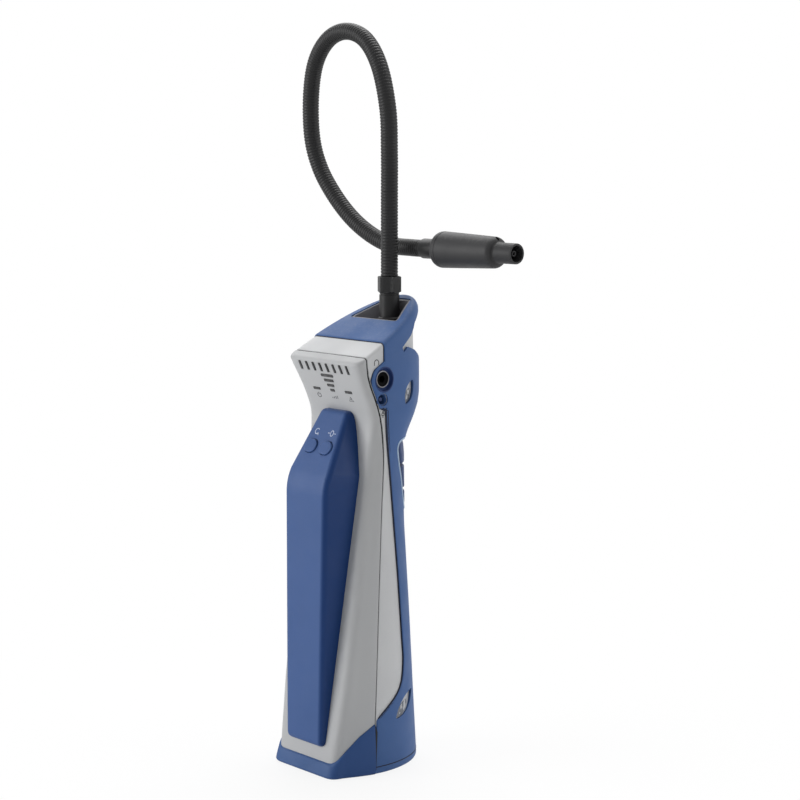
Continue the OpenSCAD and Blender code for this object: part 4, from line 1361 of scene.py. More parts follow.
@dataclass
class SoftCover(SubAssembly):
    """Blue soft covering of the rear, the sides and the sloping top."""

    form: HousingForm
    rear_shell: RearShell
    thick: float = 0.8
    film: float = 0.06
    fillet: float = 0.55
    lobe_r: float = 8.6
    strip_z: float = 188.5
    lobe_foot_y: float = -8.2
    crown_y: float = -3.2
    bead_r: float = 0.52
    bead_step: float = 0.8
    edge: Table = (
        (27.0, -11.6), (30.2, -8.4), (35.2, -1.2), (40.0, 5.4), (45.4, 9.0), (51.4, 10.3), (58.0, 11.0),
        (64.0, 10.3), (102.6, 7.0), (128.0, 4.0), (141.0, 2.5), (155.0, 1.1), (166.0, -0.2), (172.0, -0.9),
        (184.6, -1.7), (188.5, -1.8),
    )
    notch: Table = (
        (11.0, 218.2), (20.0, 223.9), (23.3, 227.5), (24.6, 229.5), (30.8, 233.7), (36.0, 236.4), (60.0, 236.8),
        (60.0, 208.3), (34.5, 208.6), (30.0, 212.2), (23.5, 215.9), (16.4, 218.1), (12.4, 215.6),
    )
    windows: tuple[tuple[tuple[float, float], tuple[float, float], float], ...] = (
        ((13.0, 189.0), (20.6, 200.8), 7.2), ((2.4, 26.4), (19.6, 38.3), 7.6)
    )
    finger_edge: Table = (
        (60.0, 171.0), (22.0, 171.0), (13.0, 170.8), (9.0, 169.8), (7.3, 166.8), (9.0, 159.0), (11.8, 150.5),
        (14.5, 139.0), (18.0, 133.0), (60.0, 131.0),
    )
    _table: np.ndarray = field(default_factory=lambda: np.zeros((0, 2)))

    def __post_init__(self) -> None:
        """Works out the side view of the covering's edge as a fine table of height and depth."""
        low = np.arange(0.0, self.strip_z, 0.5)
        zs, ys = [p[0] for p in self.edge], [p[1] for p in self.edge]
        raw = np.interp(low, zs, ys)
        pad = np.concatenate([np.full(8, raw[0]), raw, np.full(8, raw[-1])])
        even = np.convolve(pad, np.hanning(19)[1:-1] / np.hanning(19).sum(), "valid")
        socket = self.rear_shell.sockets
        join = socket.phone_z + math.sqrt(self.lobe_r**2 - (socket.phone_y - self.crown_y) ** 2)
        arc = np.linspace(socket.phone_z, join, 30)
        lobe = socket.phone_y - np.sqrt(np.maximum(self.lobe_r**2 - (arc - socket.phone_z) ** 2, 0.0))
        high_z = np.concatenate([[self.strip_z, self.strip_z + 0.01], arc, [400.0]])
        high_y = np.concatenate([[ys[-1], self.lobe_foot_y], lobe, [self.crown_y]])
        self._table = np.column_stack([np.concatenate([low, high_z]), np.concatenate([even, high_y])])

    def border(self, s: float) -> float:
        """Gives the depth of the covering's edge at station s.

        Args:
            s: Station.

        Returns:
            The depth.
        """
        y = np.arange(-22.0, 25.0, 0.02)
        z = s + self.form.lean(s) * (y + self.form.waist_y)
        outside = y < np.interp(z, self._table[:, 0], self._table[:, 1])
        last = np.nonzero(outside)[0]
        edge = float(y[last[-1]]) + 0.02 if len(last) else -22.0
        return max(edge, self.form.seam_y(s) + 0.45)

    def build(self) -> None:
        """Makes the covering with its openings, and the inlays of its windows."""
        low = self.rear_shell.rim
        levels = np.concatenate(
            [np.arange(low, 60.0, 1.6), np.arange(60.0, 160.0, 2.5), np.arange(160.0, 184.0, 1.2),
             np.arange(184.0, 190.0, 0.3), np.arange(190.0, 216.0, 0.8)]
        )
        plan = ShellPlan(
            Stretch.REAR, self.border, self.thick, self.film, self.form.cover_line, self.fillet,
            levels, Foot.RIM,
        )
        cover = ShellMaker(self.bench, self.form).build("soft_cover_skin", plan)
        at = self.rear_shell.sockets
        outlines = [rounded_polygon(self.notch, 0.9, 4), *(lens_points(*window) for window in self.windows)]
        outlines.append(rounded_polygon(self.finger_edge, 30.0, 6))
        tools = self.rear_shell.bores()
        tools += [self.bench.prism("side_tool", outline, -CUT_REACH, CUT_REACH, Axis.X) for outline in outlines]
        well = self.rear_shell.well
        tools.append(self.bench.prism("well_tool", well.outline(CLEARANCE), well.cover_cut, CUT_TOP, Axis.Z))
        pocket = circle_points((at.phone_y, at.phone_z), at.pocket_r, 64)
        tools.append(self.bench.prism("pocket_tool", pocket, at.cut_x, CUT_REACH, Axis.X))
        charge = circle_points((at.charge_y, at.charge_z), at.charge_r + 0.1, 40)
        tools.append(self.bench.prism("charge_tool", charge, at.cut_x, CUT_REACH, Axis.X))
        self.bench.cut(cover, tools, smooth=40.0)
        self.bench.dress(cover, SOFT_BLUE, ["rear_cover"])
        self._cup()
        self._bead()
        for i, (start, end, width) in enumerate(self.windows):
            for side in (1, -1):
                self._inlay(f"window_inlay_{i}_{'right' if side > 0 else 'left'}", start, end, width, side)

    def _bead(self) -> None:
        """Makes the pale bead round the opening for the fingers: a painted highlight along the covering's cut edge."""
        form, grow = self.form, self.thick - 0.1
        line = rounded_polygon(self.finger_edge, 30.0, 6)
        right = []
        for y, z in line:
            ring, first = form.half_ring(form.station(float(y), float(z)), grow, form.cover_line)
            if y < ring[-1, 1] - 0.05:
                right.append((float(np.interp(y, ring[first:, 1], ring[first:, 0])), y, z))
        path = np.asarray(right)
        path = at_lengths(path, np.arange(0.0, lengths(path)[-1], self.bead_step))
        path = np.vstack([path, path[::-1] * [-1, 1, 1]])
        ahead = np.roll(path, -1, 0) - np.roll(path, 1, 0)
        ahead /= np.linalg.norm(ahead, axis=1)[:, None]
        out = path * [1, 1, 0]
        out -= (out * ahead).sum(1)[:, None] * ahead
        out /= np.linalg.norm(out, axis=1)[:, None]
        side = np.cross(ahead, out)
        rows = [ring_at(p, self.bead_r, a, b, 10) for p, a, b in zip(path, out, side)]
        self.bench.dress(self.bench.loops("finger_highlight_bead", rows, around=True), EDGE_HIGHLIGHT)

    def _cup(self) -> None:
        """Makes the lining of the pocket round the earphone socket."""
        at = self.rear_shell.sockets
        deep, r, skin = at.pocket_x, at.pocket_r - 0.03, at.skin
        rows = []
        plan = [
            (r, deep - skin, 0.0), (r, 0.0, -0.15), (r - 0.12, 0.0, 0.06), (r - skin / 2, 0.0, 0.14),
            (r - skin + 0.1, 0.0, 0.06), (r - skin, 0.0, -0.2), (r - skin, deep + 0.5, 0.0),
            (r - skin - 0.2, deep + 0.1, 0.0), (r - skin - 0.6, deep, 0.0), (at.ring_r + 0.1, deep, 0.0),
            (at.ring_r + 0.1, deep - skin, 0.0),
        ]
        for radius, x, shift in plan:
            row = []
            for a in full_turn(64):
                y, z = at.phone_y + radius * math.cos(a), at.phone_z + radius * math.sin(a)
                reach = x if x > 0 else self.form.side_point(y, z, self.thick)[0]
                row.append((reach + shift, y, z))
            rows.append(np.asarray(row))
        cup = self.bench.loops("socket_cup", rows, around=True)
        self.bench.dress(cup, DEEP_BLUE)

    def _inlay(
        self, name: str, start: Sequence[float], end: Sequence[float], width: float, side: int
    ) -> None:
        """Makes the polished inlay of one window, and a darker lens over its lower part as painted shade.

        Args:
            name: Name of the piece.
            start: One end of the window, as depth and height.
            end: Its other end.
            width: Its width.
            side: 1 for the right-hand side, -1 for the left-hand side.
        """
        mid = (np.asarray(start) + np.asarray(end)) / 2
        outline = lens_points(start, end, width, 24)
        rows = []
        for scale, grow in ((0.97, 0.03), (0.97, 0.28), (0.9, 0.36), (0.6, 0.42), (0.3, 0.45), (0.02, 0.46)):
            row = []
            for y, z in mid + (outline - mid) * scale:
                p = self.form.side_point(float(y), float(z), 0.0)
                row.append((side * (p[0] + grow), p[1], p[2]))
            rows.append(np.asarray(row))
        inlay = self.bench.loops(name, rows)
        self.bench.dress(inlay, SHELL_GLOSS)
        # Painted shade: a darker lens over the lower part of the inlay, standing in for the dish's dark lower
        # reflection.
        a, b = np.asarray(start), np.asarray(end)
        low = a + (b - a) * 0.04
        shape = lens_points(low, a + (b - a) * 0.66, width * 0.7, 18)
        spots = np.asarray([self.form.side_point(float(y), float(z), 0.0) for y, z in shape])
        loops = [(spots + [grow, 0, 0]) * [side, 1, 1] for grow in (0.3, 0.48)]
        self.bench.dress(self.bench.loops(f"{name}_shade", loops), INLAY_SHADE)


@dataclass
class CoverEdge(SubAssembly):
    """Dark lip along the front edge of the covering: painted shade for its shadowed edge and gap."""

    cover: SoftCover
    width: float = 0.5
    under: float = 1.3
    top_under: float = 0.2
    high: float = 0.86
    low: float = 29.0

    def build(self) -> None:
        """Makes the lip along both sides, and the one over the lobes and the top."""
        form = self.cover.form
        side = np.concatenate([np.arange(self.low, 60.0, 1.6), np.arange(60.0, self.cover.strip_z - 0.4, 2.5)])
        right = [self._section(float(s), None, self.under) for s in side]
        for name, turn in (("cover_lip_right", 1), ("cover_lip_left", -1)):
            lip = self.bench.loops(name, [section * [turn, 1, 1] for section in right])
            self.bench.dress(lip, EDGE_SHADE_NAVY)
        lobe, thin = np.arange(self.cover.strip_z + 0.4, 216.0, 0.6), self.top_under
        high = [self._section(float(s), None, thin) for s in lobe]
        high += [self._section(form.crown_h, float(a), thin) for a in np.linspace(0.0, math.pi / 2, 6)]
        lip = self.bench.loops("cover_lip_top", high + [section * [-1, 1, 1] for section in reversed(high)])
        self.bench.dress(lip, EDGE_SHADE_NAVY)

    def _section(self, s: float, turn: float | None, under: float) -> np.ndarray:
        """Gives the lip's section on the right-hand side.

        Args:
            s: Station.
            turn: Angle on the rounding of the crown, or None below it.
            under: How far it reaches over the covering.

        Returns:
            Points x, y, z.
        """
        form = self.cover.form
        edge = self.cover.border(s)
        front = max(edge - self.width * min(1.0, 0.2 + (s - self.low) / 8.0), form.seam_y(s) + 0.4)
        high = self.high if under > 1.0 else 0.3
        out = []
        for y, grow in ((front, 0.02), (front + 0.1, high - 0.15), (edge + under - 0.1, high), (edge + under, 0.02)):
            at, g = (s, grow) if turn is None else form.crown_row(turn, grow)
            out.append((form.across(at, g, form.back_line, y), y, form.height(at, y)))
        return np.asarray(out)


@dataclass
class BaseBand(SubAssembly):
    """Blue band round the front of the base, rising to the shut line."""

    form: HousingForm
    thick: float = 2.0
    film: float = 0.06
    rise: float = 27.0
    front_h: float = 7.3
    fillet: float = 0.5
    half_gap: float = 0.5
    foot: float = 1.6
    taper: float = 1.2
    columns: int = 64

    def top(self, y: float) -> float:
        """Gives the height of the band's upper edge at depth y."""
        seam = self.form.seam_y(self.rise)
        return float(np.interp(y, [-34.0, -32.2, -20.4, seam], [self.front_h, self.front_h + 1.6, 20.8, self.rise]))

    def build(self) -> None:
        """Makes the band."""
        turns = np.linspace(0.0, math.pi / 2, 6)
        edge, lip = self.thick - self.taper, self.fillet
        profile = [(0.0, self.foot * (1 - math.cos(a)), self.thick - self.foot * (1 - math.sin(a))) for a in turns]
        profile += [(part, 0.0, self.thick - self.taper * part**2) for part in np.linspace(0.25, 0.95, 8)]
        profile += [(1.0, -lip * (1 - math.sin(a)), edge - lip * (1 - math.cos(a))) for a in turns[1:]]
        profile += [(part, 0.0, self.film) for part in (1.0, *np.linspace(0.9, 0.1, 6))]
        profile.append((0.0, 0.0, self.film - 0.9))
        loops = list(np.stack([self._row(*spot) for spot in profile], axis=1))
        band = self.bench.loops("base_band_skin", loops)
        self.bench.dress(band, BAND_BLUE, ["base_band"])

    def _row(self, part: float, shift: float, grow: float) -> np.ndarray:
        """Gives one row of the band from the right shut line round the front to the left one.

        Args:
            part: Share of the band's height.
            shift: Distance added to that height.
            grow: Outward growth.

        Returns:
            Points x, y, z.
        """
        ring, first = self.form.half_ring(4.0, grow, self.form.back_line)
        full = lengths(ring)[-1]
        y0 = self.form.seam_y(10.0) - self.half_gap
        x0 = float(np.interp(y0, ring[first:, 1], ring[first:, 0]))
        path = np.vstack([[x0, y0], ring[ring[:, 1] < y0 - 1e-6][::-1]])
        along = lengths(path)
        out = []
        for want in np.linspace(0.0, along[-1], self.columns):
            y = float(np.interp(want, along, path[:, 1]))
            s = max(part * self.top(y) + shift, 0.0)
            here, _ = self.form.half_ring(s, grow, self.form.back_line)
            reach = lengths(here)
            spot = (along[-1] - want) * reach[-1] / full
            out.append((np.interp(spot, reach, here[:, 0]), np.interp(spot, reach, here[:, 1]), s))
        right = np.asarray(out)
        right[-1, 0] = 0.0
        return mirrored(right)


@dataclass
class FingerPads(SubAssembly):
    """Dark soft ribs that wrap round the back of the grip."""

    cover: SoftCover
    count: int = 3
    pitch: float = 13.1
    high: float = 12.1
    top: float = 169.9
    thick: float = 2.4
    film: float = 0.06
    edge_gap: float = 2.2
    straight: float = 25.2
    corner_r: float = 2.2
    round_r: float = 1.1
    spacing: tuple[float, ...] = (0.0, 0.08, 0.22, 0.45, 0.8, 1.3, 2.2)

    def build(self) -> None:
        """Makes the ribs as pillows on the rear of the grip, and the dark bed between them, painted shade in the gaps
        between the ribs.
        """
        foot = self.cover.finger_edge[-2][1] + 1.0
        for i in range(self.count):
            top = self.top - i * self.pitch
            pad = self._pillow(f"finger_pad_{i + 1}", max(top - self.high, foot), top)
            self.bench.dress(pad, FINGER_BLUE_LIT, ["finger_pads"])
        # Painted shade: a thin dark navy bed under the ribs, showing in the gaps between them.
        shade_bed = replace(self, edge_gap=0.5, thick=0.3, round_r=0.2)
        self.bench.dress(shade_bed._pillow("finger_shade_bed", foot, self.top), EDGE_SHADE_NAVY)

    def _pillow(self, name: str, low: float, top: float) -> Piece:
        """Makes one pillow between two heights.

        Args:
            name: Name of the piece.
            low: Lower end.
            top: Upper end.

        Returns:
            The pillow.
        """
        high, ends = top - low, np.asarray(self.spacing)
        heights = np.concatenate([ends, np.arange(3.2, high - 3.0, 1.2), high - ends[::-1]])
        outer = [self._row(low + h, min(h, high - h)) for h in heights]
        inner = [self._row(low + h, min(h, high - h), flat=True) for h in heights]
        return self.bench.loops(name, [np.vstack([a, b[-2:0:-1]]) for a, b in zip(outer, inner)], smooth=50.0)

    def _start(self, z: float, inside: float) -> float:
        """Gives the depth at which a rib starts at a height, rounded towards its upper and lower ends.

        Args:
            z: Height.
            inside: Distance from the nearer end.

        Returns:
            The depth.
        """
        ys, zs = np.asarray(self.cover.finger_edge)[::-1].T
        y = float(np.interp(z, zs, ys)) + self.edge_gap
        short = max(self.corner_r - inside, 0.0)
        return y + self.corner_r - math.sqrt(max(self.corner_r**2 - short**2, 0.0))

    def _row(self, z: float, inside: float, flat: bool = False) -> np.ndarray:
        """Gives one row of a rib from its right end to its left end.

        Args:
            z: Height of the row.
            inside: Distance from the rib's upper or lower end.
            flat: Whether the row lies on the grip instead of on the rib's outer face.

        Returns:
            Points x, y, z.
        """
        form = self.cover.form
        s = form.station(14.0, z)
        wb, yb = form.beam(s)
        yr = form.soft(s, form.back_line, form.rear_blur)
        first = math.asin((self._start(z, inside) - yb) / (yr + self.thick - yb))
        reach = math.hypot(wb * math.sin(first), (yr - yb) * math.cos(first))
        ends = np.asarray(self.spacing) / reach
        turns = np.concatenate([ends, np.linspace(ends[-1] + 0.04, math.pi / 2 - first, 22)])
        out = []
        for a in turns:
            near = min(inside, a * reach, self.round_r) / self.round_r
            thick = min(self.thick, max(self.straight - yr, 0.6)) - self.film
            grow = self.film if flat else self.film + thick * math.sqrt(max(1 - (1 - near) ** 2, 0.0))
            out.append(self._spot(first + a, z, grow))
        right = np.asarray(out)
        right[-1, 0] = 0.0
        return mirrored(right)

    def _spot(self, turn: float, z: float, grow: float) -> np.ndarray:
        """Gives the point of the grip's rear at an angle from the side and a height, grown outward.

        Args:
            turn: Angle in radians.
            z: Height.
            grow: Outward growth.

        Returns:
            Point x, y, z.
        """
        form = self.cover.form
        s, x, y = z, 0.0, 0.0
        for _ in range(10):
            wb, yb = form.beam(s)
            yr = form.soft(s, form.back_line, form.rear_blur) + grow
            x, y = (wb + grow) * math.cos(turn), yb + (yr - yb) * math.sin(turn)
            s = z - form.lean(s) * (y + form.waist_y)
        return np.array([x, y, z])


@dataclass
class BatteryDoor(SubAssembly):
    """Foot of the housing behind the base band, which closes the battery bay."""

    form: HousingForm
    thick: float = 3.5
    grow: float = 0.8
    half_gap: float = 0.3
    columns: int = 60
    screw_y: float = 26.0
    screw_r: float = 2.9
    screw_cut: tuple[float, float] = (-5.0, 20.0)

    def build(self) -> None:
        """Makes the door as a plate with a rounded foot."""
        rows = [self.form.foot_row(a, self.grow) for a in np.linspace(0.0, math.pi / 2, 8)]
        rows += [(self.thick - 0.3, self.grow), (self.thick - 0.08, self.grow - 0.08), (self.thick, self.grow - 0.3)]
        loops = [self._row(max(s, 0.0), g) for s, g in rows]
        door = self.bench.loops("battery_door_plate", loops)
        # Painted shade: a thin dark navy ring along the door's upper edge, for the shadow line above the door.
        low, high = self.thick - 0.1, self.thick + 0.4
        shade_strip = [self._row(s, g) for s, g in ((low, 0.2), (low, 0.9), (high, 0.9), (high, 0.2))]
        self.bench.dress(self.bench.loops("door_shade_strip", list(np.stack(shade_strip, axis=1))), EDGE_SHADE_NAVY)
        hole = circle_points((0.0, self.screw_y), self.screw_r, 32)
        tool = self.bench.prism("screw_tool", hole, *self.screw_cut, Axis.Z)
        self.bench.cut(door, [tool])
        self.bench.dress(door, SOFT_BLUE, ["battery_door"])

    def _row(self, s: float, grow: float) -> np.ndarray:
        """Gives points from the right shut line round the rear to the left one, at station s.

        Args:
            s: Station.
            grow: Outward growth.

        Returns:
            Points x, y, z.
        """
        ring, first = self.form.half_ring(s, grow, self.form.cover_line)
        y0 = self.form.seam_y(s) + self.half_gap
        x0 = float(np.interp(y0, ring[first:, 1], ring[first:, 0]))
        path = np.vstack([[x0, y0], ring[ring[:, 1] > y0 + 0.02]])
        right = np.column_stack([evenly(path, self.columns), np.full(self.columns, s)])
        right[-1, 0] = 0.0
        return mirrored(right)


@dataclass
class GripPanel(SubAssembly):
    """Raised blue panel on the front, with a sloping part that holds the two keys."""

    form: HousingForm
    ball: float = 3.4
    inner_ball: float = 1.2
    wall: float = 2.0
    foot: float = 18.0
    toe_out: float = 2.0
    knee: float = 150.0
    front: float = 33.2
    top: float = 182.4
    top_proud: float = 5.8
    half_w: float = 16.4
    root_half: float = 18.7
    knee_r: float = 22.0
    film: float = 0.06
    key_l: float = 9.0
    key_w: float = 7.4
    key_x: float = 5.8
    key_up: float = 20.2
    run_gap: float = 0.3
    key_cut: tuple[float, float] = (-12.0, 12.0)

    def slope(self) -> float:
        """Gives the tilt of the sloping part from upright, in radians."""
        return math.atan2(self.front + self.form.front_y(self.top) - self.top_proud, self.top - self.knee)

    def slope_out(self) -> float:
        """Gives how far the sloping face lies outside the plane of the panel's points."""
        return self.ball * (1 - math.cos(self.slope()))

    def slope_in(self) -> float:
        """Gives how far the sloping part's inner face lies inside the plane of the panel's points."""
        a = self.slope()
        return (self.inner_ball + self.wall) * math.cos(a) + self.wall * math.sin(a) - self.inner_ball / 2

    def on_slope(self, x: float, up: float, out: float) -> np.ndarray:
        """Gives a point from x, distance up the sloping part and distance outward."""
        c, s = math.cos(self.slope()), math.sin(self.slope())
        return np.array([x, -self.front + up * s - out * c, self.knee + up * c + out * s])

    def _points(self) -> list[tuple[float, float, float]]:
        """Lists the right-hand points that the panel spans, with a soft knee.

        Returns:
            Points x, y, z.
        """
        fy = self.form.front_y
        pts = [
            (self.half_w - 2.0, -self.front - self.toe_out, self.foot),
            (self.half_w - 5.2, fy(self.top) - self.top_proud, self.top),
            (self.half_w - 2.0, fy(self.foot), self.foot),
            (self.root_half - 4.5, fy(46.0), 46.0),
            (self.root_half - 2.2, fy(90.0), 90.0),
            (self.root_half, fy(self.knee + 3), self.knee + 3),
            (self.half_w - 5.2, fy(self.top), self.top),
        ]
        low, high = math.atan2(self.toe_out, self.knee - self.foot), self.slope()
        reach = self.knee_r * math.tan((high - low) / 2)
        y0, z0 = -self.front - reach * math.sin(low), self.knee - reach * math.cos(low)
        for t in np.linspace(low, high, 9):
            y = y0 + self.knee_r * (math.cos(low) - math.cos(t))
            z = z0 + self.knee_r * (math.sin(t) - math.sin(low))
            pts.append((self.half_w - 0.1, y, z))
        return pts

    def _hull(self, name: str, inset: float, ball: float, fine: int) -> Piece:
        """Makes the hull of balls at the panel's points.

        Args:
            name: Name of the object.
            inset: Distance by which the hull is smaller.
            ball: Radius of the balls.
            fine: Steps of each ball.

        Returns:
            The hull.
        """
        cloud = []
        for x, y, z in self._points():
            up = (-inset if z > 46.0 else inset) if inset else 0.0
            for side in (-1, 1):
                mid = np.array([side * (x - ball - inset), y + ball + inset, z + up])
                for a in np.linspace(-math.pi / 2, math.pi / 2, fine + 1):
                    for b in full_turn(2 * fine):
                        ray = np.array([math.cos(a) * math.cos(b), math.cos(a) * math.sin(b), math.sin(a)])
                        cloud.append(mid + ball * ray)
        bm = bmesh.new()
        for p in cloud:
            bm.verts.new(p * MM)
        bmesh.ops.remove_doubles(bm, verts=bm.verts, dist=1e-6)
        made = bmesh.ops.convex_hull(bm, input=bm.verts)
        bmesh.ops.delete(bm, geom=list(set(made["geom_interior"] + made["geom_unused"])), context="VERTS")
        data = bpy.data.meshes.new(name)
        bm.to_mesh(data)
        bm.free()
        points = np.array([v.co for v in data.vertices]) / MM
        faces = [tuple(p.vertices) for p in data.polygons]
        bpy.data.meshes.remove(data)
        return self.bench.mesh(name, points, faces)

    def key_ring(self, side: int, grow: float, out: float) -> np.ndarray:
        """Gives the outline of the left (-1) or right (1) key, grown and moved outward."""
        outline = oblong_points(self.key_l + 2 * grow, self.key_w + 2 * grow)
        return np.asarray([self.on_slope(side * self.key_x + u, self.key_up + v, out) for u, v in outline])

    def key_tool(self, side: int) -> Piece:
        """Makes the tool for one key's opening."""
        return self.bench.loops("key_tool", [self.key_ring(side, self.run_gap, h) for h in self.key_cut])

    def build(self) -> None:
        """Makes the panel, hollow, fitted to the front and open for the keys."""
        panel = self._hull("grip_panel_skin", 0.0, self.ball, 14)
        tools = [self._hull("panel_hollow", self.wall, self.inner_ball, 6)]
        tools.append(self.form.solid(self.bench, "form_tool", self.film))
        tools += [self.key_tool(side) for side in (-1, 1)]
        self.bench.cut(panel, tools, smooth=30.0)
        self.bench.even_normals(panel)
        self.bench.dress(panel, PANEL_BLUE, ["grip_panel"])


@dataclass
class Keys(SubAssembly):
    """Two domed keys on the sloping part of the panel."""

    panel: GripPanel
    rise: float = 1.0
    flange: float = 0.5
    flange_t: float = 0.8

    def build(self) -> None:
        """Makes both keys."""
        for side, body, node in ((-1, Body.MODE_KEY, "mode_button"), (1, Body.ZERO_KEY, "zero_button")):
            key = self.bench.loops(f"{node}_cap", self._rows(side))
            self.bench.dress(key, KEY_BLUE, [node], body)

    def _rows(self, side: int) -> list[np.ndarray]:
        """Gives the loops of one key from its flange to the middle of its dome.

        Args:
            side: -1 for the left-hand key, 1 for the right-hand one.

        Returns:
            The loops.
        """
        p = self.panel
        low, top = -p.slope_in() - 0.05, p.slope_out() + self.rise
        plan = [(-self.flange, low - self.flange_t), (-self.flange, low), (0.0, low), (0.0, top - 0.42),
                (0.05, top - 0.26), (0.16, top - 0.14), (0.34, top - 0.07), (0.7, top - 0.03), (1.4, top - 0.01),
                (2.2, top), (3.0, top), (3.6, top)]
        return [p.key_ring(side, -inset, h) for inset, h in plan]


@dataclass
class Sockets(SubAssembly):
    """Plated ring and black mouth of the earphone socket; the mouth's near-black is partly painted shade."""

    plan: SocketPlan
    ring_h: float = 1.0
    rim: float = 0.65
    mouth_r: float = 2.2

    def build(self) -> None:
        """Makes the mouth, and the ring with a turned rim."""
        at = self.plan
        low, top = at.pocket_x - at.skin, at.pocket_x + self.ring_h
        inner, outer = at.ring_r - self.rim, at.ring_r
        profile = [
            (inner, low), (outer, low), (outer, top - 0.35), (outer - 0.1, top - 0.12), (outer - 0.35, top),
            (inner + 0.25, top), (inner + 0.08, top - 0.1), (inner, top - 0.3),
        ]
        spot = (0.0, at.phone_y, at.phone_z)
        funnel = [
            (inner - 0.02, low), (inner - 0.02, top - 0.3), (inner - 0.3, top - 0.34), (self.mouth_r, top - 0.9),
            (self.mouth_r, low),
        ]
        mouth = self.bench.turned("phone_mouth_turned", funnel, spot, Axis.X, 56)
        self.bench.dress(mouth, SOCKET_BLACK)
        ring = self.bench.turned("phone_ring_turned", profile, spot, Axis.X, 56)
        self.bench.dress(ring, PLATED_RING, ["phone_ring"])


@dataclass
class SeamShade(SubAssembly):
    """Dark cord in the shut line between the two shells: painted shade that makes the line read dark, raised near the
    surface low down.
    """

    form: HousingForm
    sunk: float = 0.45
    deep: float = 1.3
    lift: float = 1.75
    lift_to: float = 26.0
    foot_half: float = 0.44

    def build(self) -> None:
        """Makes the cord up one side, over the top and down the other side."""
        levels = np.concatenate([np.arange(2.0, 150.0, 4.0), np.arange(150.0, 216.0, 2.0)])
        corners = ((-1, -self.sunk), (1, -self.sunk), (1, -self.deep), (-1, -self.deep))
        runs = []
        for shift, grow in corners:
            rows = [(float(s), grow + (self.lift if s < self.lift_to else 0.0)) for s in levels]
            rows += [self.form.crown_row(a, grow) for a in np.linspace(0.0, math.pi / 2, 6)]
            run = []
            for s, g in rows:
                y = self.form.seam_y(s) + shift * (self.foot_half if s < self.lift_to else self.form.seam_gap(s) - 0.01)
                run.append((self.form.across(s, g, self.form.back_line, y), y, self.form.height(s, y)))
            runs.append(run)
        right = [np.asarray(section) for section in zip(*runs)]
        left = [section * [-1, 1, 1] for section in reversed(right)]
        shade_strip = self.bench.loops("seam_shade_cord", right + left)
        self.bench.dress(shade_strip, SEAM_SHADE_BLACK)


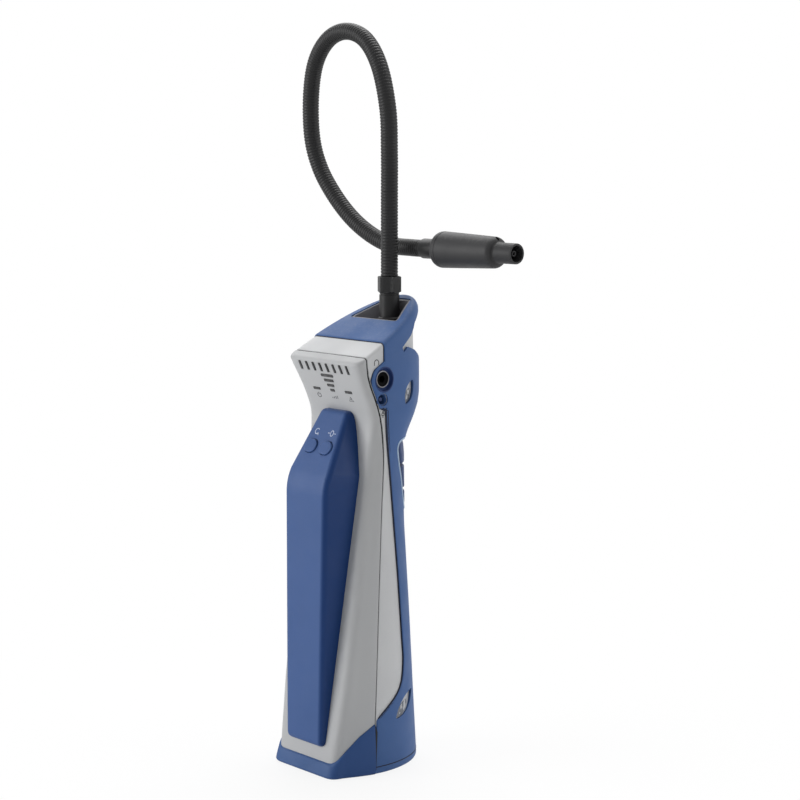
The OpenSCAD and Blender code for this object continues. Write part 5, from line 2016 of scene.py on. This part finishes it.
@dataclass
class Signs(SubAssembly):
    """Plain signs below the lights, above the keys and beside the sockets."""

    form: HousingForm
    panel: GripPanel
    low: float = -0.03
    high: float = 0.05

    def build(self) -> None:
        """Makes the signs as thin prints."""
        power = [(self._arc(-12.4, 7.2, 1.3, 130.0, 410.0), False), ([(-12.4, 7.4), (-12.4, 8.9)], False)]
        ticks = [([(x, 6.2), (x, 7.0 + 0.35 * i)], False) for i, x in enumerate((-2.0, -0.7, 0.6, 1.9))]
        warn = [([(10.8, 5.9), (14.0, 5.9), (12.4, 8.5)], True), ([(12.4, 6.5), (12.4, 7.5)], False)]
        for name, lines in (("power_sign", power), ("level_sign", ticks), ("fault_sign", warn)):
            self._draw(name, SIGN_INK, lines, 0.4, self._on_display)
        turn = [
            (self._arc(-5.6, 28.4, 1.5, 40.0, 330.0), False),
            ([(-5.5, 27.2), (-4.3, 27.6), (-4.2, 26.3)], False),
        ]
        nought = [
            (np.array([1.05, 1.5]) * self._arc(0.0, 0.0, 1.0, 0.0, 345.0) + np.array([5.9, 28.4]), True),
            ([(2.9, 28.4), (4.2, 28.4)], False), ([(7.6, 28.4), (8.9, 28.4)], False),
        ]
        for name, lines in (("mode_sign", turn), ("zero_sign", nought)):
            self._draw(name, SIGN_PALE, lines, 0.42, self._on_panel)
        phones = [
            (self._arc(-8.4, 212.0, 1.5, -10.0, 190.0), False),
            ([(-9.9, 212.0), (-9.9, 210.6)], False), ([(-6.9, 212.0), (-6.9, 210.6)], False),
        ]
        plug = [
            ([(-3.8, 187.0), (-3.8, 186.0)], False), ([(-3.0, 187.0), (-3.0, 186.0)], False),
            ([(-4.1, 185.9), (-2.7, 185.9), (-2.7, 184.9), (-4.1, 184.9)], True),
            ([(-3.4, 184.8), (-3.4, 183.6)], False),
        ]
        for name, lines in (("earphone_sign", phones), ("charge_sign", plug)):
            self._draw(name, SIGN_INK, lines, 0.46, self._on_side)

    @staticmethod
    def _arc(x: float, y: float, radius: float, start: float, end: float) -> np.ndarray:
        """Gives points of an arc between two angles in degrees."""
        turn = np.radians(np.linspace(start, end, 24))
        return np.column_stack([x + radius * np.cos(turn), y + radius * np.sin(turn)])

    def _on_display(self, x: float, up: float, out: float) -> np.ndarray:
        """Gives a point of the display face."""
        return self.form.front_point(x, self.form.waist_h + up * math.cos(math.radians(self.form.face_tilt)), out)

    def _on_panel(self, x: float, up: float, out: float) -> np.ndarray:
        """Gives a point of the panel's sloping part."""
        return self.panel.on_slope(x, up, self.panel.slope_out() + out)

    def _on_side(self, y: float, z: float, out: float) -> np.ndarray:
        """Gives a point of the housing's right-hand side."""
        return self.form.side_point(y, z, out)

    def _draw(
        self,
        name: str,
        finish: Finish,
        lines: Sequence[tuple[Sequence[Sequence[float]] | np.ndarray, bool]],
        width: float,
        place: Callable[[float, float, float], np.ndarray],
    ) -> None:
        """Makes one sign from strokes.

        Args:
            name: Name of the sign.
            finish: Its finish.
            lines: Points of each stroke, and whether it closes.
            width: Width of the strokes.
            place: Turns two places on the surface and a height into a point.
        """
        points: list[np.ndarray] = []
        faces: Faces = []
        for line, closed in lines:
            mid = np.asarray(line, float)
            n, base = len(mid), len(points)
            ahead = np.roll(mid, -1, 0) if closed else np.vstack([mid[1:], 2 * mid[-1] - mid[-2]])
            behind = np.roll(mid, 1, 0) if closed else np.vstack([2 * mid[0] - mid[1], mid[:-1]])
            along = (ahead - behind) / np.linalg.norm(ahead - behind, axis=1)[:, None]
            side = np.column_stack([-along[:, 1], along[:, 0]]) * width / 2
            for c, d in zip(mid, side):
                for spot, h in ((c - d, self.low), (c + d, self.low), (c + d, self.high), (c - d, self.high)):
                    points.append(place(float(spot[0]), float(spot[1]), h))
            faces += [tuple(base + i for i in face) for face in skin_faces(n, 4, closed)]
            if not closed:
                end = base + 4 * (n - 1)
                faces += [(base + 3, base + 2, base + 1, base), (end, end + 1, end + 2, end + 3)]
        self.bench.dress(self.bench.mesh(name, np.asarray(points), faces), finish)


# ---------------- probe


@dataclass
class NeckFoot(SubAssembly):
    """Sleeve and hexagon nut at the foot of the flexible neck."""

    axis: tuple[float, float] = (0.0, 25.0)
    sleeve_r: float = 5.3
    flange_r: float = 6.1
    flange_h: float = 2.4
    flats: float = 11.2
    chamfer: float = 0.7
    bore_r: float = 4.6
    sides: int = 96

    def build(self) -> None:
        """Makes the sleeve with its thread stub and the nut."""
        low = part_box("neck_stem")[0].z / MM
        nut_low, nut_high = (corner.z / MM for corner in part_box("neck_nut"))
        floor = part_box("probe_well")[0].z / MM + 1.6
        stub = (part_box("lock_nut")[1].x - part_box("lock_nut")[0].x) / MM / 2 - 3.0
        r, f, brim = self.sleeve_r, self.flange_r, floor + self.flange_h
        profile = [
            (1.6, low), (stub, low), (stub, floor), (f - 0.3, floor), (f, floor + 0.3), (f, brim - 0.5),
            (f - 0.5, brim), (r, brim + 0.2), (r, nut_low - 1.4), (r - 0.3, nut_low - 1.1), (r - 0.3, nut_low - 0.5),
            (r, nut_low - 0.3), (r - 0.1, nut_low), (1.6, nut_low),
        ]
        stem = self.bench.turned("neck_stem_turned", profile, (*self.axis, 0.0), Axis.Z, 56)
        self.bench.dress(stem, BLACK_PLASTIC, ["neck_stem"])
        rows = []
        c = self.chamfer
        wide = self.flats / 2 / math.cos(math.pi / 6)
        for z, limit in (
            (nut_low, wide - c), (nut_low + c * 0.5, wide), (nut_high - c * 0.5, wide), (nut_high, wide - c),
        ):
            rows.append(self._hexagon(z, limit))
        for r, z in ((self.bore_r + 0.5, nut_high), (self.bore_r, nut_high - 0.4), (self.bore_r, nut_low)):
            rows.append(np.column_stack([circle_points(self.axis, r, self.sides), np.full(self.sides, z)]))
        nut = self.bench.loops("neck_nut_hexagon", rows, around=True, smooth=25.0)
        self.bench.dress(nut, BLACK_PLASTIC, ["neck_nut"])

    def _hexagon(self, z: float, limit: float) -> np.ndarray:
        """Gives a hexagon at height z, its corners turned down to a radius.

        Args:
            z: Height.
            limit: Largest radius.

        Returns:
            Points x, y, z.
        """
        out = []
        for a in full_turn(self.sides):
            near = (a + math.pi / 6) % (math.pi / 3) - math.pi / 6
            r = min(self.flats / 2 / math.cos(near), limit)
            out.append((self.axis[0] + r * math.cos(a), self.axis[1] + r * math.sin(a), z))
        return np.asarray(out)


@dataclass
class Gooseneck(SubAssembly):
    """Ribbed flexible neck that loops from the nut to the sensor head."""

    axis: tuple[float, float] = (0.0, 25.0)
    radius: float = 4.5
    pitch: float = 1.62
    groove: float = 0.26
    sides: int = 28
    split: float = 48.0
    route: tuple[tuple[float, float, float], ...] = (
        (0, 0, -5), (0, 0, 12), (0, 0, 38), (0, 0, 64), (-1.4, 0.2, 86), (-8.6, 0.8, 108), (-21, 2, 122),
        (-37, 3, 127), (-53, 4.2, 123.5), (-65.4, 5.6, 112), (-71.6, 7.2, 94), (-73, 9, 72), (-69, 11, 55.5),
        (-59, 12.5, 41), (-45.4, 13.5, 28.6), (-30, 14, 20), (-14, 14, 15.2), (2, 14, 14.4), (14, 14, 14.4),
    )

    def path(self) -> np.ndarray:
        """Gives the neck's middle line as fine points.

        Returns:
            Points x, y, z.
        """
        p = np.asarray(self.route, float)
        n = len(p) - 1
        out = []
        for i in range(n):
            a, b, c, d = p[max(i - 1, 0)], p[i], p[i + 1], p[min(i + 2, n)]
            for t in np.linspace(0.0, 1.0, 40, endpoint=False):
                out.append(
                    (2 * b + (c - a) * t + (2 * a - 5 * b + 4 * c - d) * t * t + (3 * b - a - 3 * c + d) * t**3) / 2
                )
        out.append(p[-1])
        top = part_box("neck_nut")[1].z / MM
        return np.asarray(out) + np.array([*self.axis, top])

    def build(self) -> None:
        """Makes the neck in two runs: the upright one on no body, with its place baked into its mesh, and the loop
        riding on the probe.
        """
        path = self.path()
        full = float(lengths(path)[-1])
        ribs = int(full / self.pitch)
        pitch = full / ribs
        first = round(self.split / pitch)
        foot = self._run("gooseneck_foot", path, 0, first, pitch)
        self.bench.dress(foot, NECK_BLACK, ["gooseneck"], None)
        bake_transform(foot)
        loop = self._run("gooseneck_loop", path, first, ribs, pitch)
        self.bench.dress(loop, NECK_BLACK, ["gooseneck"], Body.PROBE)

    def _run(self, name: str, path: np.ndarray, first: int, last: int, pitch: float) -> Piece:
        """Makes a ribbed run.

        Args:
            name: Name of the object.
            path: Middle line of the whole neck.
            first: Number of the first rib.
            last: Number after the last rib.
            pitch: Spacing of the ribs.

        Returns:
            The run.
        """
        wave = ((0.0, 1.0), (0.1, 0.75), (0.22, 0.22), (0.4, 0.02), (0.6, 0.0), (0.78, 0.22), (0.9, 0.75))
        spots = [((i + u) * pitch, d) for i in range(first, last) for u, d in wave] + [(last * pitch, 1.0)]
        want, depth = np.asarray(spots).T
        here, ahead, behind = (at_lengths(path, want + step) for step in (0.0, 0.6, -0.6))
        rows = []
        for mid, d, t in zip(here, depth, ahead - behind):
            t = t / np.linalg.norm(t)
            a = np.array([0.0, 1.0, 0.0]) - t[1] * t
            a /= np.linalg.norm(a)
            rows.append(ring_at(mid, self.radius - self.groove * d, a, np.cross(t, a), self.sides))
        return self.bench.loops(name, rows, smooth=60.0)


@dataclass
class SensorHead(SubAssembly):
    """Ferrule, tapered sensor head with its snout, and the inlet tube."""

    body_r: float = 9.4
    shoulder_r: float = 8.0
    length: float = 43.0
    heel_r: float = 3.0
    round_r: float = 3.4
    snout_r: float = 5.2
    snout_l: float = 12.4
    bore_r: float = 4.1
    wall: float = 1.6
    vent_r: float = 0.9
    ferrule_r: float = 5.2

    def build(self) -> None:
        """Makes the ferrule, the head and the inlet tube."""
        low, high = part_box("neck_ferrule")
        x0, y0, z0 = high.x / MM, (low.y + high.y) / 2 / MM, (low.z + high.z) / 2 / MM
        length = (high.x - low.x) / MM
        r = self.ferrule_r
        ferrule = self.bench.turned(
            "neck_ferrule_turned",
            [(4.62, -length), (r - 0.5, -length), (r - 0.15, -length + 0.15), (r, -length + 0.5), (r, -0.9),
             (r - 0.25, -0.6), (r - 0.25, 0.0), (1.5, 0.0), (1.5, -1.4), (4.62, -1.4)],
            (x0, y0, z0), Axis.X, 64,
        )
        self.bench.dress(ferrule, NECK_BLACK, ["neck_ferrule"], Body.PROBE)
        head = self.bench.turned("sensor_cover_turned", self._profile(), (x0, y0, z0), Axis.X, 72)
        tool = self._vent(np.array([x0, y0, z0]))
        self.bench.cut(head, [tool], smooth=32.0)
        self.bench.dress(head, SENSOR_BLACK, ["sensor_cover"], Body.PROBE)
        tube_low, tube_high = (corner.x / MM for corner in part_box("inlet_tube"))
        tube = self.bench.turned(
            "inlet_tube_turned",
            [(0.75, tube_low), (1.5, tube_low), (1.5, tube_high - 0.3), (1.35, tube_high - 0.05), (1.1, tube_high),
             (0.85, tube_high - 0.1), (0.75, tube_high - 0.4)],
            (0.0, y0, z0), Axis.X, 40,
        )
        self.bench.dress(tube, SENSOR_BLACK, ["inlet_tube"], Body.PROBE)

    def _profile(self) -> list[tuple[float, float]]:
        """Gives the head's turned profile as radius and distance, round its hollow.

        Returns:
            The closed profile.
        """
        out: list[tuple[float, float]] = [(0.6, 0.0)]
        body = self.body_r
        for a in np.linspace(-math.pi / 2, 0.0, 10):
            out.append((body - self.heel_r + self.heel_r * math.cos(a), self.heel_r + self.heel_r * math.sin(a)))
        out += [(body - 0.03, 4.4), (body - 0.22, 4.55), (body - 0.22, 4.85), (body - 0.06, 5.0)]
        for part in (0.3, 0.6, 0.85):
            out.append((body + (self.shoulder_r - body) * part, 5.0 + (self.length - 8.0) * part))
        for a in np.linspace(math.radians(4), math.radians(78), 10):
            out.append(
                (self.shoulder_r - self.round_r + self.round_r * math.cos(a),
                 self.length - self.round_r + self.round_r * math.sin(a))
            )
        end = self.length + self.snout_l
        for r, h in ((0.9, -0.1), (0.45, 0.1), (0.2, 0.4), (0.08, 0.9)):
            out.append((self.snout_r + r, self.length + h))
        out += [(self.snout_r, end - 0.5), (self.snout_r - 0.14, end - 0.16), (self.snout_r - 0.45, end)]
        out += [(self.bore_r + 0.25, end), (self.bore_r, end - 0.3), (self.bore_r, self.length - self.wall)]
        cell_r, cell_end = self.shoulder_r - self.wall - 0.9, self.length - 6.0
        return out + [(1.6, self.length - self.wall), (1.6, cell_end), (cell_r, cell_end), (cell_r, 4.0), (0.6, 4.0)]

    def _vent(self, base: np.ndarray) -> Piece:
        """Makes the tool for the small vent on top of the shoulder.

        Args:
            base: Point on the axis where the head starts.

        Returns:
            The tool.
        """
        a = math.radians(35)
        out = np.array([math.cos(a + math.pi / 2) * -1, 0.0, math.sin(a + math.pi / 2)])
        side = np.array([0.0, 1.0, 0.0])
        along = np.cross(out, side)
        mid = base + np.array([self.length - 1.6, 0.0, self.shoulder_r - 1.1])
        rows = [ring_at(mid + h * out, self.vent_r, 1.5 * along, side, 24) for h in (-1.2, 4.0)]
        return self.bench.loops("vent_tool", rows)


# ---------------- CAD pieces that stay


@dataclass
class InnerWorks(SubAssembly):
    """CAD nodes that keep their shape and get a finish."""

    finishes: dict[str, Finish] = field(
        default_factory=lambda: {
            "signal_bars": LENS_DARK, "level_bars": LENS_DARK, "power_light": LENS_DARK, "fault_light": LENS_DARK,
            "key_board": BOARD_GREEN, "display_board": BOARD_GREEN, "main_board": BOARD_GREEN,
            # phone_socket takes the near-black socket finish, painted shade in its hole.
            "key_switches": BLACK_PLASTIC, "buzzer": BLACK_PLASTIC, "phone_socket": SOCKET_BLACK,
            "charge_socket": SOFT_BLUE, "charge_pin": DEEP_BLUE, "battery_pack": CELL_WRAP,
            "battery_contacts": CONTACT_BRASS, "air_pump": STEEL, "pump_head": BLACK_PLASTIC, "sample_tube": SILICONE,
            "probe_well": WELL_GREY, "lock_nut": CONTACT_BRASS, "sensor_cell": STEEL, "housing_screws": STEEL,
            "door_screw": STEEL,
        }
    )

    def build(self) -> None:
        """Gives each kept CAD node its finish."""
        for node, finish in self.finishes.items():
            self.bench.dress_node(node, finish)


# ---------------- studio


@dataclass
class Studio(SubAssembly):
    """Pale floor, soft lights, white surroundings and the camera at the photograph's angle."""

    camera_at: tuple[float, float, float] = (0.7573, -0.6568, 0.3228)
    camera_turn: tuple[float, float, float] = (82.44, 0.0, 48.0)
    lens: float = 88.2
    shift: float = 0.0131
    fill: float = 0.36
    sensor: float = 36.0
    floor_half: float = 40000.0
    floor_z: float = -0.05
    aim_h: float = 0.16

    def build(self) -> None:
        """Makes the camera, the floor, the lamps and the world."""
        data = bpy.data.cameras.new("photo_camera")
        data.lens = self.lens
        data.sensor_width = self.sensor
        data.sensor_fit = "HORIZONTAL"
        data.shift_x = self.shift
        data.clip_start = 0.01
        data.dof.use_dof = False
        camera = bpy.data.objects.new("photo_camera", data)
        camera.location = self.camera_at
        camera.rotation_euler = [math.radians(a) for a in self.camera_turn]
        bpy.context.scene.collection.objects.link(camera)
        bpy.context.scene.camera = camera
        self._floor()
        self._lamps()
        self._world()
        bpy.context.scene.view_settings.view_transform = "Standard"

    def _floor(self) -> None:
        """Makes a wide pale floor that keeps the shadow."""
        size, low = self.floor_half, self.floor_z
        points = np.array([(-size, -size, low), (size, -size, low), (size, size, low), (-size, size, low)])
        floor = self.bench.mesh("studio_floor", points, [(0, 1, 2, 3)])
        mat = bpy.data.materials.new("studio_floor_white")
        mat.use_nodes = True
        tree = mat.node_tree
        shader = tree.nodes["Principled BSDF"]
        shader.inputs["Base Color"].default_value = (0.86, 0.86, 0.86, 1.0)
        shader.inputs["Roughness"].default_value = 0.7
        shader.inputs["Specular IOR Level"].default_value = 0.1
        glow = tree.nodes.new("ShaderNodeEmission")
        glow.inputs["Strength"].default_value = 1.0
        mix = tree.nodes.new("ShaderNodeMixShader")
        place = tree.nodes.new("ShaderNodeTexCoord")
        away = tree.nodes.new("ShaderNodeVectorMath")
        away.operation = "LENGTH"
        tree.links.new(place.outputs["Object"], away.inputs[0])
        share = tree.nodes.new("ShaderNodeMapRange")
        share.interpolation_type = "SMOOTHSTEP"
        for socket, value in (("From Min", 0.04), ("From Max", 0.3), ("To Min", 0.86), ("To Max", 1.0)):
            share.inputs[socket].default_value = value
        tree.links.new(away.outputs["Value"], share.inputs["Value"])
        part = math_node(tree, "MULTIPLY", self._seen(tree), share.outputs[0])
        for i, source in enumerate((part, shader.outputs[0], glow.outputs[0])):
            tree.links.new(source, mix.inputs[i])
        tree.links.new(mix.outputs[0], tree.nodes["Material Output"].inputs["Surface"])
        floor.data.materials.append(mat)

    @staticmethod
    def _seen(tree: Tree) -> Socket:
        """Gives a socket that is 1 for rays that show the surroundings.

        Args:
            tree: The node tree.

        Returns:
            The socket.
        """
        ray = tree.nodes.new("ShaderNodeLightPath").outputs
        first = math_node(tree, "MAXIMUM", ray["Is Camera Ray"], ray["Is Transmission Ray"])
        return math_node(tree, "MAXIMUM", first, ray["Is Glossy Ray"])

    def _lamps(self) -> None:
        """Hangs soft lamps to the left, to the right, above and behind."""
        for name, place, size, power in (
            ("left_softbox", (-0.75, -1.2, 0.5), 0.9, 13.2),
            ("right_softbox", (1.2, 0.8, 0.5), 0.8, 4.4),
            ("top_softbox", (-0.25, 0.55, 1.5), 1.0, 14.5),
            ("back_softbox", (-1.1, 0.5, 1.05), 1.0, 4.5),
        ):
            data = bpy.data.lights.new(name, "AREA")
            data.shape = "SQUARE"
            data.size = size
            data.energy = power
            lamp = bpy.data.objects.new(name, data)
            lamp.location = place
            aim = Vector((0.0, 0.0, self.aim_h)) - Vector(place)
            lamp.rotation_euler = aim.to_track_quat("-Z", "Y").to_euler()
            bpy.context.scene.collection.objects.link(lamp)

    def _world(self) -> None:
        """Makes white surroundings that light the object softly."""
        world = bpy.data.worlds.new("studio_world")
        world.use_nodes = True
        tree = world.node_tree
        back = tree.nodes["Background"]
        back.inputs["Color"].default_value = (1.0, 1.0, 1.0, 1.0)
        level = tree.nodes.new("ShaderNodeMapRange")
        level.inputs["To Min"].default_value = self.fill
        level.inputs["To Max"].default_value = 1.0
        tree.links.new(self._seen(tree), level.inputs["Value"])
        tree.links.new(level.outputs[0], back.inputs["Strength"])
        bpy.context.scene.world = world


def write_sizes() -> None:
    """Updates the view layer."""
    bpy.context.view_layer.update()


def main() -> None:
    """Builds every sub-assembly in order and reports each piece."""
    logging.basicConfig(level=logging.INFO, format="%(message)s")
    bench = Bench()
    form = HousingForm()
    rear = RearShell(bench, form, WellPlan(), SocketPlan())
    cover = SoftCover(bench, form, rear)
    panel = GripPanel(bench, form)
    parts: tuple[SubAssembly, ...] = (
        Studio(bench), FrontShell(bench, form, DisplayPlan()), rear, cover, CoverEdge(bench, cover),
        BaseBand(bench, form), FingerPads(bench, cover), BatteryDoor(bench, form), panel, Keys(bench, panel),
        SeamShade(bench, form), Signs(bench, form, panel), Sockets(bench, rear.sockets), NeckFoot(bench),
        Gooseneck(bench), SensorHead(bench), InnerWorks(bench),
    )
    for part in parts:
        part.build()
    write_sizes()
    LOG.info("%d pieces made", bench.count)


if __name__ == "__main__":
    main()
